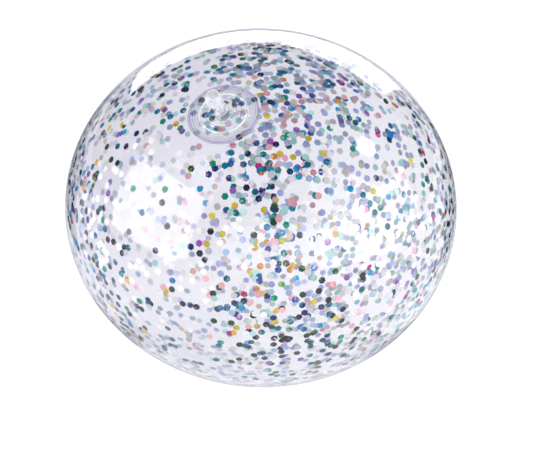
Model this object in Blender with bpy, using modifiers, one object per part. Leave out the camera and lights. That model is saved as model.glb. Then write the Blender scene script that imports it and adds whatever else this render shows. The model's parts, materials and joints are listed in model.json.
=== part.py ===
"""Clear inflatable ball with loose holographic glitter inside and an oral inflation valve.

The ball stands on a small flat at the origin, +Z up. Its valve faces the front, up and to the left.
Run with blender --background --python part.py, or from the text editor. Lengths are in metres.
"""

import math
import random

import bmesh
import bpy
from mathutils import Matrix, Vector

# Ball
BALL_WIDTH = 0.230
BALL_HEIGHT = 0.206
FOOT_WIDTH = 0.036
SKIN_WALL = 0.0004
SKIN_TURN_STEPS = 48
SKIN_PROFILE_STEPS = 24

# Valve seat: where the skin's normal points, up from the horizon and round from the front
VALVE_LATITUDE = math.radians(58.5)
VALVE_AZIMUTH = math.radians(-21.5)
SKIN_HOLE_WIDTH = 0.0286
FLANGE_LAP = 0.0064
FLANGE_INNER_LEDGE = 0.0016
FLANGE_WALL = 0.0006

# Diaphragm between the flange and the stem
DIAPHRAGM_WALL = 0.0007
DIAPHRAGM_FOLD_WIDTH = 0.0165
DIAPHRAGM_FOLD_RISE = 0.0010
DIAPHRAGM_TOP_RISE = 0.0030

# Stem, which leans over in the soft diaphragm
STEM_LEAN = math.radians(14.0)
STEM_BORE = 0.0046
STEM_WALL = 0.0014
STEM_ABOVE = 0.0105
STEM_BELOW = 0.0026
STEM_LIP = 0.0007
STEM_LIP_HEIGHT = 0.0011

# Plug
PIN_LENGTH = 0.0068
PIN_TAPER = 0.0005
HEAD_OVERHANG = 0.0013
HEAD_HEIGHT = 0.0066
HEAD_ROUND = 0.0030
HEAD_LIP_HEIGHT = 0.0012
HEAD_WAIST = 0.0004

# Strap that ties the plug to the stem
STRAP_WALL = 0.0009
STRAP_WIDTH = 0.0034
STRAP_BOW = 0.0042
STRAP_ROOT_RISE = 0.0016
STRAP_STEPS = 12

# Check flap under the stem
FLAP_LAP = 0.0009
FLAP_WALL = 0.0005
FLAP_HINGE_HALF_ANGLE = math.radians(40.0)

# Glitter
FLAKE_WIDTH = 0.0040
FLAKE_WALL = 0.00015
FLAKE_COUNT = 48
FLAKE_SIDES = 6
FLAKE_SEED = 11

# Fits
GAP = 0.0003
TURN_STEPS = 32
ROUND_STEPS = 5
CUT_REACH = 0.012
MERGE = 0.00001

# Worked out from the values above
HALF_WIDTH = BALL_WIDTH / 2
HALF_HEIGHT = BALL_HEIGHT / 2
FOOT_ANGLE = math.acos(FOOT_WIDTH / BALL_WIDTH)
CENTRE_HEIGHT = HALF_HEIGHT * math.sin(FOOT_ANGLE)
HOLE_RADIUS = SKIN_HOLE_WIDTH / 2
FLANGE_RADIUS = HOLE_RADIUS + FLANGE_LAP
FLANGE_INNER_RADIUS = HOLE_RADIUS - FLANGE_INNER_LEDGE
BORE_RADIUS = STEM_BORE / 2
STEM_RADIUS = BORE_RADIUS + STEM_WALL
HEAD_RADIUS = STEM_RADIUS + HEAD_OVERHANG
HEAD_SEAT = STEM_ABOVE + GAP

FILM = (0.86, 0.86, 0.92, 0.30)
VALVE_VINYL = (0.90, 0.90, 0.94, 0.55)
FLAP_VINYL = (0.45, 0.46, 0.52, 0.80)
FLAKE_COLOURS = {
    "teal": (0.02, 0.20, 0.22, 1.0),
    "navy": (0.02, 0.03, 0.16, 1.0),
    "emerald": (0.03, 0.26, 0.10, 1.0),
    "azure": (0.06, 0.32, 0.62, 1.0),
    "magenta": (0.52, 0.05, 0.28, 1.0),
    "violet": (0.22, 0.10, 0.40, 1.0),
    "gold": (0.62, 0.42, 0.06, 1.0),
    "silver": (0.62, 0.62, 0.66, 1.0),
}


def clear_scene():
    """Remove every object, so that the model starts from nothing."""
    for obj in list(bpy.data.objects):
        bpy.data.objects.remove(obj, do_unlink=True)


def new_collection(name):
    """Make a collection in the scene."""
    collection = bpy.data.collections.new(name)
    bpy.context.scene.collection.children.link(collection)
    return collection


def finish(name, colour, roughness, metallic=0.0):
    """Make a Principled material. The colour's fourth value is its opacity."""
    material = bpy.data.materials.new(name)
    material.use_nodes = True
    shader = material.node_tree.nodes["Principled BSDF"]
    shader.inputs["Base Color"].default_value = (*colour[:3], 1.0)
    shader.inputs["Alpha"].default_value = colour[3]
    shader.inputs["Roughness"].default_value = roughness
    shader.inputs["Metallic"].default_value = metallic
    material.diffuse_color = colour
    return material


def add_object(name, data, collection, parent=None, matrix=None, material=None):
    """Link a mesh, a curve or an empty into a collection, placed in its parent's frame."""
    obj = bpy.data.objects.new(name, data)
    collection.objects.link(obj)
    obj.parent = parent
    obj.matrix_local = matrix or Matrix.Identity(4)
    if material:
        data.materials.append(material)
    return obj


def frame_along(origin, axis, side):
    """A frame at origin with +Z along axis and +X as near to side as it can be."""
    z = axis.normalized()
    x = (side - z * side.dot(z)).normalized()
    y = z.cross(x)
    turn = Matrix((x, y, z)).transposed().to_4x4()
    return Matrix.Translation(origin) @ turn


def turned(name, profile, closed, steps, collection, **place):
    """Turn a profile of (radius, height) points, listed down its outer side, about the local Z axis."""
    mesh = bpy.data.meshes.new(name)
    last = len(profile) if closed else len(profile) - 1
    edges = [(i, (i + 1) % len(profile)) for i in range(last)]
    mesh.from_pydata([(radius, 0.0, height) for radius, height in profile], edges, [])
    obj = add_object(name, mesh, collection, **place)
    screw = obj.modifiers.new("Turn", "SCREW")
    screw.axis = "Z"
    screw.angle = 2 * math.pi
    screw.steps = steps
    screw.render_steps = steps
    screw.use_merge_vertices = True
    screw.merge_threshold = MERGE
    screw.use_smooth_shade = True
    return obj


def add_solidify(obj, wall):
    """Give an open surface a wall, grown inwards."""
    solidify = obj.modifiers.new("Wall", "SOLIDIFY")
    solidify.thickness = wall
    solidify.offset = -1.0
    solidify.use_even_offset = True


def add_boolean(obj, operation, cutter):
    """Cut or keep part of an object with a cutter."""
    boolean = obj.modifiers.new(operation.title(), "BOOLEAN")
    boolean.operation = operation
    boolean.object = cutter


def round_cutter(name, radius, collection, parent):
    """A cylinder on its parent's Z axis that reaches through the skin both ways."""
    mesh = bpy.data.meshes.new(name)
    shape = bmesh.new()
    bmesh.ops.create_cone(
        shape, cap_ends=True, segments=TURN_STEPS, radius1=radius, radius2=radius, depth=2 * CUT_REACH
    )
    shape.to_mesh(mesh)
    shape.free()
    cutter = add_object(name, mesh, collection, parent)
    cutter.hide_render = True
    cutter.display_type = "WIRE"
    return cutter


def arc(centre, radius, start, stop, steps):
    """Points on a circle about (x, y) from one angle to another."""
    angles = [start + (stop - start) * i / steps for i in range(steps + 1)]
    return [(centre[0] + radius * math.cos(a), centre[1] + radius * math.sin(a)) for a in angles]


def flat_outline(name, points, wall, collection, **place):
    """Fill a flat outline and give it a wall centred on its own plane."""
    curve = bpy.data.curves.new(name, "CURVE")
    curve.dimensions = "2D"
    curve.fill_mode = "BOTH"
    curve.extrude = wall / 2
    spline = curve.splines.new("POLY")
    spline.points.add(len(points) - 1)
    for target, (x, y) in zip(spline.points, points):
        target.co = (x, y, 0.0, 1.0)
    spline.use_cyclic_u = True
    return add_object(name, curve, collection, **place)


def skin_profile(inset):
    """The ball's outline, from its top to the middle of its foot, moved inwards by inset."""
    points = []
    for step in range(SKIN_PROFILE_STEPS):
        angle = math.pi / 2 - (math.pi / 2 + FOOT_ANGLE) * step / (SKIN_PROFILE_STEPS - 1)
        normal = Vector((math.cos(angle) / HALF_WIDTH, math.sin(angle) / HALF_HEIGHT)).normalized()
        radius = HALF_WIDTH * math.cos(angle) - inset * normal.x
        height = CENTRE_HEIGHT + HALF_HEIGHT * math.sin(angle) - inset * normal.y
        points.append((max(radius, 0.0), height))
    points.append((0.0, points[-1][1]))
    return points


def valve_frame():
    """The frame on the skin's outer face at the valve, +Z along the skin's normal and -X to the left."""
    level = math.cos(VALVE_LATITUDE)
    normal = Vector(
        (
            level * math.sin(VALVE_AZIMUTH),
            -level * math.cos(VALVE_AZIMUTH),
            math.sin(VALVE_LATITUDE),
        )
    )
    stretch = Vector((HALF_WIDTH**2 * normal.x, HALF_WIDTH**2 * normal.y, HALF_HEIGHT**2 * normal.z))
    place = stretch / math.sqrt(stretch.dot(normal)) + Vector((0.0, 0.0, CENTRE_HEIGHT))
    return frame_along(place, normal, Vector((1.0, 0.0, 0.0)))


def seat_level(radius):
    """Height of the flange's middle layer in the valve's frame, this far from the valve's axis."""
    bend = (HALF_WIDTH + HALF_HEIGHT) / 2
    return -(SKIN_WALL + GAP + FLANGE_WALL / 2) - radius**2 / (2 * bend)


def build_skin(parts, cutters, root, valve):
    """The seamless skin, opened where the valve goes through."""
    skin = turned(
        "ball_skin", skin_profile(0.0), False, SKIN_TURN_STEPS, parts,
        parent=root, material=finish("clear film", FILM, 0.06),
    )
    add_solidify(skin, SKIN_WALL)
    add_boolean(skin, "DIFFERENCE", round_cutter("skin_hole_cutter", HOLE_RADIUS, cutters, valve))


def build_flange(parts, cutters, root, valve):
    """The welded ring under the skin, which takes the skin's own curve."""
    flange = turned(
        "valve_flange", skin_profile(SKIN_WALL + GAP), False, SKIN_TURN_STEPS, parts,
        parent=root, material=finish("flange vinyl", VALVE_VINYL, 0.12),
    )
    add_solidify(flange, FLANGE_WALL)
    add_boolean(flange, "INTERSECT", round_cutter("flange_edge_cutter", FLANGE_RADIUS, cutters, valve))
    add_boolean(flange, "DIFFERENCE", round_cutter("flange_hole_cutter", FLANGE_INNER_RADIUS, cutters, valve))


def build_diaphragm(parts, cutters, valve, stem_axis):
    """The thin folded cone that lets the stem be pushed in."""
    rim = FLANGE_INNER_RADIUS - GAP
    level = seat_level(rim)
    middle = [
        (BORE_RADIUS, level + DIAPHRAGM_TOP_RISE),
        (STEM_RADIUS + STEM_WALL, level + DIAPHRAGM_TOP_RISE),
        (DIAPHRAGM_FOLD_WIDTH / 2, level + DIAPHRAGM_FOLD_RISE),
        (rim, level),
    ]
    half = DIAPHRAGM_WALL / 2
    profile = [(r, z + half) for r, z in middle] + [(r, z - half) for r, z in reversed(middle)]
    diaphragm = turned(
        "valve_diaphragm", profile, True, TURN_STEPS, parts,
        parent=valve, material=finish("diaphragm vinyl", VALVE_VINYL, 0.12),
    )
    hole = round_cutter("stem_hole_cutter", STEM_RADIUS + GAP, cutters, stem_axis)
    add_boolean(diaphragm, "DIFFERENCE", hole)


def build_stem(parts, stem_axis):
    """The mouth tube, with a rounded lip at its top and at its bottom."""
    lip = STEM_RADIUS + STEM_LIP
    profile = [
        (BORE_RADIUS, STEM_ABOVE),
        (STEM_RADIUS, STEM_ABOVE),
        (STEM_RADIUS, -STEM_BELOW + 2 * STEM_LIP_HEIGHT),
        (lip, -STEM_BELOW + STEM_LIP_HEIGHT),
        (lip, -STEM_BELOW),
        (BORE_RADIUS, -STEM_BELOW),
    ]
    turned(
        "valve_stem", profile, True, TURN_STEPS, parts,
        parent=stem_axis, material=finish("stem vinyl", VALVE_VINYL, 0.10),
    )


def build_plug(parts, stem_axis):
    """The stopper: a tapered pin in the stem's bore under a tall round head."""
    pin = BORE_RADIUS - GAP
    dome_centre = HEAD_SEAT + HEAD_HEIGHT - HEAD_ROUND
    waist = HEAD_RADIUS - HEAD_WAIST
    dome = arc((waist - HEAD_ROUND, dome_centre), HEAD_ROUND, math.pi / 2, 0.0, ROUND_STEPS)
    profile = [(0.0, HEAD_SEAT + HEAD_HEIGHT)] + dome + [
        (waist, HEAD_SEAT + HEAD_LIP_HEIGHT),
        (HEAD_RADIUS, HEAD_SEAT + HEAD_LIP_HEIGHT * 2 / 3),
        (HEAD_RADIUS, HEAD_SEAT),
        (pin, HEAD_SEAT),
        (pin, HEAD_SEAT - PIN_LENGTH / 2),
        (pin - PIN_TAPER, HEAD_SEAT - PIN_LENGTH),
        (0.0, HEAD_SEAT - PIN_LENGTH),
    ]
    turned(
        "plug", profile, False, TURN_STEPS, parts,
        parent=stem_axis, material=finish("plug vinyl", VALVE_VINYL, 0.08),
    )


def bezier(a, b, c, d, t):
    """A point on a cubic curve through a and d, drawn towards b and c."""
    s = 1 - t
    return a * s**3 + b * 3 * s * s * t + c * 3 * s * t * t + d * t**3


def strap_outline():
    """The bowed strap seen from its edge: x away from the stem's axis, y along it."""
    root = Vector((STEM_RADIUS + GAP, STRAP_ROOT_RISE + STRAP_WALL / 2))
    tip = Vector((HEAD_RADIUS + GAP, HEAD_SEAT + HEAD_LIP_HEIGHT / 2))
    bow = Vector((STRAP_BOW, 0.0))
    line = [bezier(root, root + bow, tip + bow, tip, i / STRAP_STEPS) for i in range(STRAP_STEPS + 1)]
    near, far = [], []
    for i, point in enumerate(line):
        along = line[min(i + 1, STRAP_STEPS)] - line[max(i - 1, 0)]
        if i in (0, STRAP_STEPS):
            along = bow if i == 0 else -bow
        across = Vector((-along.y, along.x)).normalized() * STRAP_WALL / 2
        near.append(tuple(point + across))
        far.append(tuple(point - across))
    return far + near[::-1]


def build_strap(parts, stem_axis):
    """The strap that keeps the plug, on the right of the stem."""
    edge_on = Matrix.Rotation(math.pi / 2, 4, "X")
    flat_outline(
        "plug_strap", strap_outline(), STRAP_WIDTH, parts,
        parent=stem_axis, matrix=edge_on, material=finish("strap vinyl", VALVE_VINYL, 0.12),
    )


def build_flap(parts, stem_axis):
    """The check flap that closes the bore from inside, hinged along its flat edge."""
    radius = BORE_RADIUS + FLAP_LAP
    open_angle = FLAP_HINGE_HALF_ANGLE
    hinge_reach = radius * math.cos(open_angle)
    points = arc((-hinge_reach, 0.0), radius, open_angle, 2 * math.pi - open_angle, TURN_STEPS)
    hinge = Matrix.Translation((hinge_reach, 0.0, -STEM_BELOW - GAP - FLAP_WALL / 2))
    flat_outline(
        "check_flap", points, FLAP_WALL, parts,
        parent=stem_axis, matrix=hinge, material=finish("flap vinyl", FLAP_VINYL, 0.30),
    )


def facet(ring, turn):
    """The middle, outward normal, meridian and half sizes of one flat facet of the skin's outer face."""
    profile = skin_profile(0.0)
    (r0, z0), (r1, z1) = profile[ring], profile[ring + 1]
    half_turn = math.pi / SKIN_TURN_STEPS
    heading = (2 * turn + 1) * half_turn
    outward = Vector((math.cos(heading), math.sin(heading), 0.0))
    down = outward * ((r1 - r0) * math.cos(half_turn)) + Vector((0.0, 0.0, z1 - z0))
    middle = outward * ((r0 + r1) / 2 * math.cos(half_turn)) + Vector((0.0, 0.0, (z0 + z1) / 2))
    across = Vector((-outward.y, outward.x, 0.0))
    normal = across.cross(down).normalized()
    if normal.dot(outward) < 0:
        normal = -normal
    return middle, normal, down.normalized(), min(r0, r1) * math.sin(half_turn), down.length / 2


def flake_frames(valve_place):
    """Frames for the flakes: a golden-angle spiral of facets, clear of the valve and of the foot."""
    rng = random.Random(FLAKE_SEED)
    golden = math.pi * (3 - math.sqrt(5))
    room = FLAKE_WIDTH / 2 + GAP
    depth = SKIN_WALL + GAP + FLAKE_WALL / 2
    rings = SKIN_PROFILE_STEPS - 2
    used, frames = set(), []
    for step in range(4 * FLAKE_COUNT):
        share = (step * 7 % FLAKE_COUNT + 0.5) / FLAKE_COUNT
        ring = int(rings * math.acos(1 - 2 * share) / math.pi)
        turn = int(step * golden / (2 * math.pi) * SKIN_TURN_STEPS) % SKIN_TURN_STEPS
        middle, normal, down, half_width, half_length = facet(ring, turn)
        near_valve = (middle - valve_place).length < FLANGE_RADIUS + half_length + half_width
        if near_valve or half_width < room or (ring, turn) in used:
            continue
        used.add((ring, turn))
        shift_down = down * rng.uniform(-1, 1) * max(half_length - room, 0.0)
        shift_side = normal.cross(down) * rng.uniform(-1, 1) * max(half_width - room, 0.0)
        place = middle + shift_down + shift_side - normal * depth
        spin = Matrix.Rotation(rng.uniform(0, 2 * math.pi), 4, "Z")
        frames.append(frame_along(place, normal, down) @ spin)
        if len(frames) == FLAKE_COUNT:
            break
    return frames


def build_flakes(parts, root, valve_place):
    """Hexagonal foil flakes that cling to the inside of the skin."""
    finishes = [finish(f"{name} foil", colour, 0.15, 0.6) for name, colour in FLAKE_COLOURS.items()]
    for index, matrix in enumerate(flake_frames(valve_place)):
        name = f"glitter_flake_{index + 1:02d}"
        mesh = bpy.data.meshes.new(name)
        shape = bmesh.new()
        bmesh.ops.create_cone(
            shape, cap_ends=True, segments=FLAKE_SIDES,
            radius1=FLAKE_WIDTH / 2, radius2=FLAKE_WIDTH / 2, depth=FLAKE_WALL,
        )
        shape.to_mesh(mesh)
        shape.free()
        add_object(name, mesh, parts, root, matrix, finishes[index % len(finishes)])


def main():
    """Build the ball, its valve and its glitter."""
    clear_scene()
    parts = new_collection("glitter_ball")
    cutters = new_collection("cutters")
    root = add_object("ball_frame", None, parts)
    seat = valve_frame()
    valve = add_object("valve_frame", None, parts, root, seat)
    lean = Matrix.Rotation(-STEM_LEAN, 4, "Y")
    stem_axis = add_object("stem_axis", None, parts, valve, lean)
    build_skin(parts, cutters, root, valve)
    build_flange(parts, cutters, root, valve)
    build_diaphragm(parts, cutters, valve, stem_axis)
    build_stem(parts, stem_axis)
    build_plug(parts, stem_axis)
    build_strap(parts, stem_axis)
    build_flap(parts, stem_axis)
    build_flakes(parts, root, seat.translation)


main()
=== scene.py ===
"""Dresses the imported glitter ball: its clear skin, its soft valve and the holographic flakes inside.

Lengths are in metres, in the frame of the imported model: +Z up, -Y to the front, origin under the ball.
"""

import json
import logging
import math
import random
from collections.abc import Callable, Sequence
from dataclasses import dataclass, field
from enum import Enum
from typing import Any

import bpy
import numpy as np
from mathutils import Matrix, Vector


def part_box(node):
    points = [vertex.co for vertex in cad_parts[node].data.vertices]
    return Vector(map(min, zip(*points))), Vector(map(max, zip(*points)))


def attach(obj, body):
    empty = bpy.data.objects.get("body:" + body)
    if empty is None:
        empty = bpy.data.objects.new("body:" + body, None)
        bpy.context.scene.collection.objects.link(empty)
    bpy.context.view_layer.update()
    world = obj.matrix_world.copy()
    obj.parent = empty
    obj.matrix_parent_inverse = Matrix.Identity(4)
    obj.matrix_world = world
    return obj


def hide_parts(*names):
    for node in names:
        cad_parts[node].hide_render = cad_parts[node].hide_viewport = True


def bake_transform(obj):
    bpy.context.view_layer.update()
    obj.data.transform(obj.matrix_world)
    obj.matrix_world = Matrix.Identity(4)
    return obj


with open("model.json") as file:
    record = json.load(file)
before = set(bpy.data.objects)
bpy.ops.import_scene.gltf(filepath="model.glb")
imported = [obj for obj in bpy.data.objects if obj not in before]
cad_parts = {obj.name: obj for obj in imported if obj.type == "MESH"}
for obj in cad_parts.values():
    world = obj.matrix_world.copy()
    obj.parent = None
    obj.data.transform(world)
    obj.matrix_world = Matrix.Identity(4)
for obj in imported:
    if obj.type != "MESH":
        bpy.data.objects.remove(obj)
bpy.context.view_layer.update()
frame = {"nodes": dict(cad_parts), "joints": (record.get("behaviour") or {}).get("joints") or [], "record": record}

LOG = logging.getLogger("glitter_ball")
BAKE_MAP = "OFBake"

Colour = tuple[float, float, float]
Pixel = tuple[float, float]

CLEAR_VINYL: Colour = (0.990, 0.990, 0.995)
FLANGE_VINYL: Colour = (1.000, 1.000, 1.000)
FOLDED_VINYL: Colour = (0.900, 0.898, 0.922)
SMOKED_VINYL: Colour = (0.40, 0.41, 0.47)
STRAIN_COLOURS: tuple[tuple[float, Colour], ...] = (
    (0.31, (0.81, 0.78, 0.94)),
    (0.38, (1.00, 1.00, 1.00)),
    (0.49, (1.00, 1.00, 1.00)),
    (0.53, (0.79, 0.92, 1.00)),
    (0.57, (1.00, 0.95, 0.87)),
    (0.69, (0.89, 0.84, 0.97)),
)
WHITE: Colour = (1.0, 1.0, 1.0)
FLAKE_CORNERS = 6
SIXTH_TURN = math.pi / 3
SKEW: tuple[float, float, float] = (0.3, 0.2, 0.93)
INWARD, UPWARD, OUTWARD, DOWNWARD = 180.0, 90.0, 0.0, -90.0


def opaque(colour: Colour) -> tuple[float, float, float, float]:
    """The colour with the fourth value that a socket wants."""
    return (*colour, 1.0)


def unit(vector: np.ndarray) -> np.ndarray:
    """The vector, or each row of vectors, at length one."""
    return vector / np.linalg.norm(vector, axis=-1, keepdims=True)


def turn_angles(count: int) -> np.ndarray:
    """Angles that share out a full turn evenly."""
    return np.arange(count) * 2 * math.pi / count


class Side(Enum):
    """Which wall of the ball a line of sight meets."""

    NEAR = -1.0
    FAR = 1.0


@dataclass
class BallShape:
    """The flattened ball, on the foot that its weight presses flat.

    Args:
        wall: thickness of the film.
        foot_width: width of the flat that the ball stands on.
        foot_ease: how softly the film turns into that flat.

    Attributes:
        half_width: half the ball's width.
        half_height: half its height before the foot is pressed flat.
        centre: its middle.
    """

    wall: float = 0.0004
    foot_width: float = 0.036
    foot_ease: float = 0.0005
    half_width: float = field(init=False)
    half_height: float = field(init=False)
    centre: np.ndarray = field(init=False)

    def __post_init__(self) -> None:
        """Read the ball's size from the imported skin."""
        low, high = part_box("ball_skin")
        self.half_width = (high.x - low.x) / 2
        foot_lift = math.sqrt(1 - (self.foot_width / (2 * self.half_width)) ** 2)
        self.half_height = high.z / (1 + foot_lift)
        self.centre = np.array([0.0, 0.0, self.half_height * foot_lift])

    @property
    def axes(self) -> np.ndarray:
        """The three half axes."""
        return np.array([self.half_width, self.half_width, self.half_height])

    def normal(self, points: np.ndarray) -> np.ndarray:
        """Outward normals of the ball at points on or near it.

        Args:
            points: one point or rows of points.

        Returns:
            Unit normals, one to a point.
        """
        return unit((points - self.centre) / self.axes**2)

    def meet(self, origin: np.ndarray, ray: np.ndarray, side: Side) -> np.ndarray | None:
        """Where a straight line meets the ball.

        Args:
            origin: a point on the line.
            ray: the line's direction.
            side: the near or the far wall.

        Returns:
            The point, or None if the line passes by.
        """
        start = (origin - self.centre) / self.axes
        along = ray / self.axes
        square = along @ along
        half = start @ along
        inside = half * half - square * (start @ start - 1)
        if inside < 0:
            return None
        return origin + ray * ((-half + side.value * math.sqrt(inside)) / square)

    def on_floor(self, points: np.ndarray, height: float) -> np.ndarray:
        """Press the points that lie lower than height softly up to it."""
        pressed = points.copy()
        above = pressed[..., 2] - height
        pressed[..., 2] = height + (above + np.sqrt(above**2 + self.foot_ease**2)) / 2
        return pressed


@dataclass
class PhotoCamera:
    """The photograph's camera, fitted to the outline of the ball.

    Args:
        ball: what it looks at.
        width: width of the photograph in pixels.
        height: height of the photograph in pixels.
        outline_centre: middle of the ball's outline, in pixels.
        outline_half_width: half the outline's width, in pixels.
        elevation: how far the camera looks down.
        roll: how far the outline's long axis dips to the right.
        distance: from the camera to the middle of the ball.
        outline_rise: how far perspective lifts the outline over the middle of the ball, in pixels.
        sensor: width of the camera's sensor in millimetres.
    """

    ball: BallShape
    width: int = 540
    height: int = 453
    outline_centre: Pixel = (261.0, 208.0)
    outline_half_width: float = 196.3
    elevation: float = math.radians(25.0)
    roll: float = math.radians(3.0)
    distance: float = 1.6
    outline_rise: float = -1.1
    sensor: float = 36.0

    @property
    def back(self) -> np.ndarray:
        """From the ball to the camera."""
        return np.array([0.0, -math.cos(self.elevation), math.sin(self.elevation)])

    @property
    def rolled_axes(self) -> tuple[np.ndarray, np.ndarray]:
        """The picture's right and up."""
        right = np.array([1.0, 0.0, 0.0])
        up = np.cross(self.back, right)
        cosine, sine = math.cos(self.roll), math.sin(self.roll)
        return right * cosine + up * sine, up * cosine - right * sine

    @property
    def place(self) -> np.ndarray:
        """Where the camera stands."""
        return self.ball.centre + self.back * self.distance

    @property
    def focal_pixels(self) -> float:
        """Focal length in pixels, from the ball's width in the picture."""
        reach = math.sqrt(self.distance**2 - self.ball.half_width**2)
        return self.outline_half_width * reach / self.ball.half_width

    def ray(self, pixel: Pixel) -> np.ndarray:
        """The line of sight through a pixel.

        Args:
            pixel: x to the right and y down, in the photograph's frame.

        Returns:
            A unit vector from the camera.
        """
        right, up = self.rolled_axes
        across = (pixel[0] - self.outline_centre[0]) / self.focal_pixels
        down = (pixel[1] - self.outline_centre[1] - self.outline_rise) / self.focal_pixels
        return unit(across * right - down * up - self.back)

    def on_ball(self, pixel: Pixel, side: Side = Side.NEAR) -> np.ndarray:
        """The point of the ball that a pixel shows.

        Args:
            pixel: a pixel inside the ball's outline.
            side: the near or the far wall.

        Returns:
            The point on the skin's outer face.
        """
        found = self.ball.meet(self.place, self.ray(pixel), side)
        if found is None:
            raise ValueError(f"pixel {pixel} is outside the ball")
        return found

    def build(self) -> bpy.types.Object:
        """Make the camera and give it to the scene.

        Returns:
            The camera object.
        """
        data = bpy.data.cameras.new("photo_camera")
        data.sensor_width = self.sensor
        data.lens = self.focal_pixels * self.sensor / self.width
        camera = bpy.data.objects.new("photo_camera", data)
        bpy.context.scene.collection.objects.link(camera)
        aim = -self.ray((self.width / 2, self.height / 2))
        right = unit(self.rolled_axes[0] - aim * (self.rolled_axes[0] @ aim))
        up = np.cross(aim, right)
        turn = Matrix([right, up, aim]).transposed().to_4x4()
        camera.matrix_world = Matrix.Translation(Vector(self.place)) @ turn
        bpy.context.scene.camera = camera
        return camera


class Graph:
    """A material's nodes, made by short calls."""

    def __init__(self, name: str) -> None:
        """Start an empty material."""
        self.material = bpy.data.materials.new(name)
        self.material.use_nodes = True
        self.tree = self.material.node_tree
        self.tree.nodes.clear()

    def add(self, kind: str, sockets: dict[str | int, Any] | None = None, **settings: Any) -> Any:
        """Add a node.

        Args:
            kind: the node's type without its ShaderNode prefix.
            sockets: values or output sockets for its inputs, by name or number.
            settings: properties of the node.

        Returns:
            The node.
        """
        node = self.tree.nodes.new(f"ShaderNode{kind}")
        for key, value in settings.items():
            setattr(node, key, value)
        for key, value in (sockets or {}).items():
            if isinstance(value, bpy.types.NodeSocket):
                self.tree.links.new(value, node.inputs[key])
            else:
                node.inputs[key].default_value = value
        return node

    def maths(self, operation: str, *values: Any) -> Any:
        """The output of a Math node on values or sockets."""
        return self.add("Math", dict(enumerate(values)), operation=operation).outputs[0]

    def mix(self, share: Any, first: Any, second: Any, **settings: Any) -> Any:
        """The colour output of a Mix node between two colours or colour sockets."""
        node = self.add("Mix", {0: share, 6: first, 7: second}, data_type="RGBA", **settings)
        return node.outputs[2]

    def vectors(self, operation: str, first: Any, second: Any) -> Any:
        """A Vector Math node on two vectors or sockets."""
        return self.add("VectorMath", {0: first, 1: second}, operation=operation)

    def noise(self, scale: float, detail: float = 0.0) -> Any:
        """A noise node on the piece's own coordinates."""
        place = self.add("TexCoord").outputs["Object"]
        return self.add("TexNoise", {"Vector": place, "Scale": scale, "Detail": detail})

    def spread(self, value: Any, low: float, high: float) -> Any:
        """Map a value from 0 to 1 on to another range."""
        sockets = {"Value": value, "To Min": low, "To Max": high}
        return self.add("MapRange", sockets).outputs["Result"]

    def bump(self, height: Any, strength: float, distance: float) -> Any:
        """The normal output of a Bump node."""
        sockets = {"Height": height, "Strength": strength, "Distance": distance}
        return self.add("Bump", sockets).outputs["Normal"]

    def ramp(self, value: Any, stops: Sequence[tuple[float, Colour]]) -> Any:
        """The colour output of a ramp through the given stops.

        Args:
            value: where on the ramp to read.
            stops: places from 0 to 1 with their colours.

        Returns:
            The colour socket.
        """
        node = self.add("ValToRGB", {"Fac": value})
        for _ in range(len(stops) - 2):
            node.color_ramp.elements.new(0.5)
        for element, (place, colour) in zip(node.color_ramp.elements, stops):
            element.position = place
            element.color = opaque(colour)
        return node.outputs["Color"]

    def finish(self, shader: Any) -> bpy.types.Material:
        """Send a shader to the material's surface and hand the material back."""
        self.add("OutputMaterial", {"Surface": shader})
        return self.material


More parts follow.
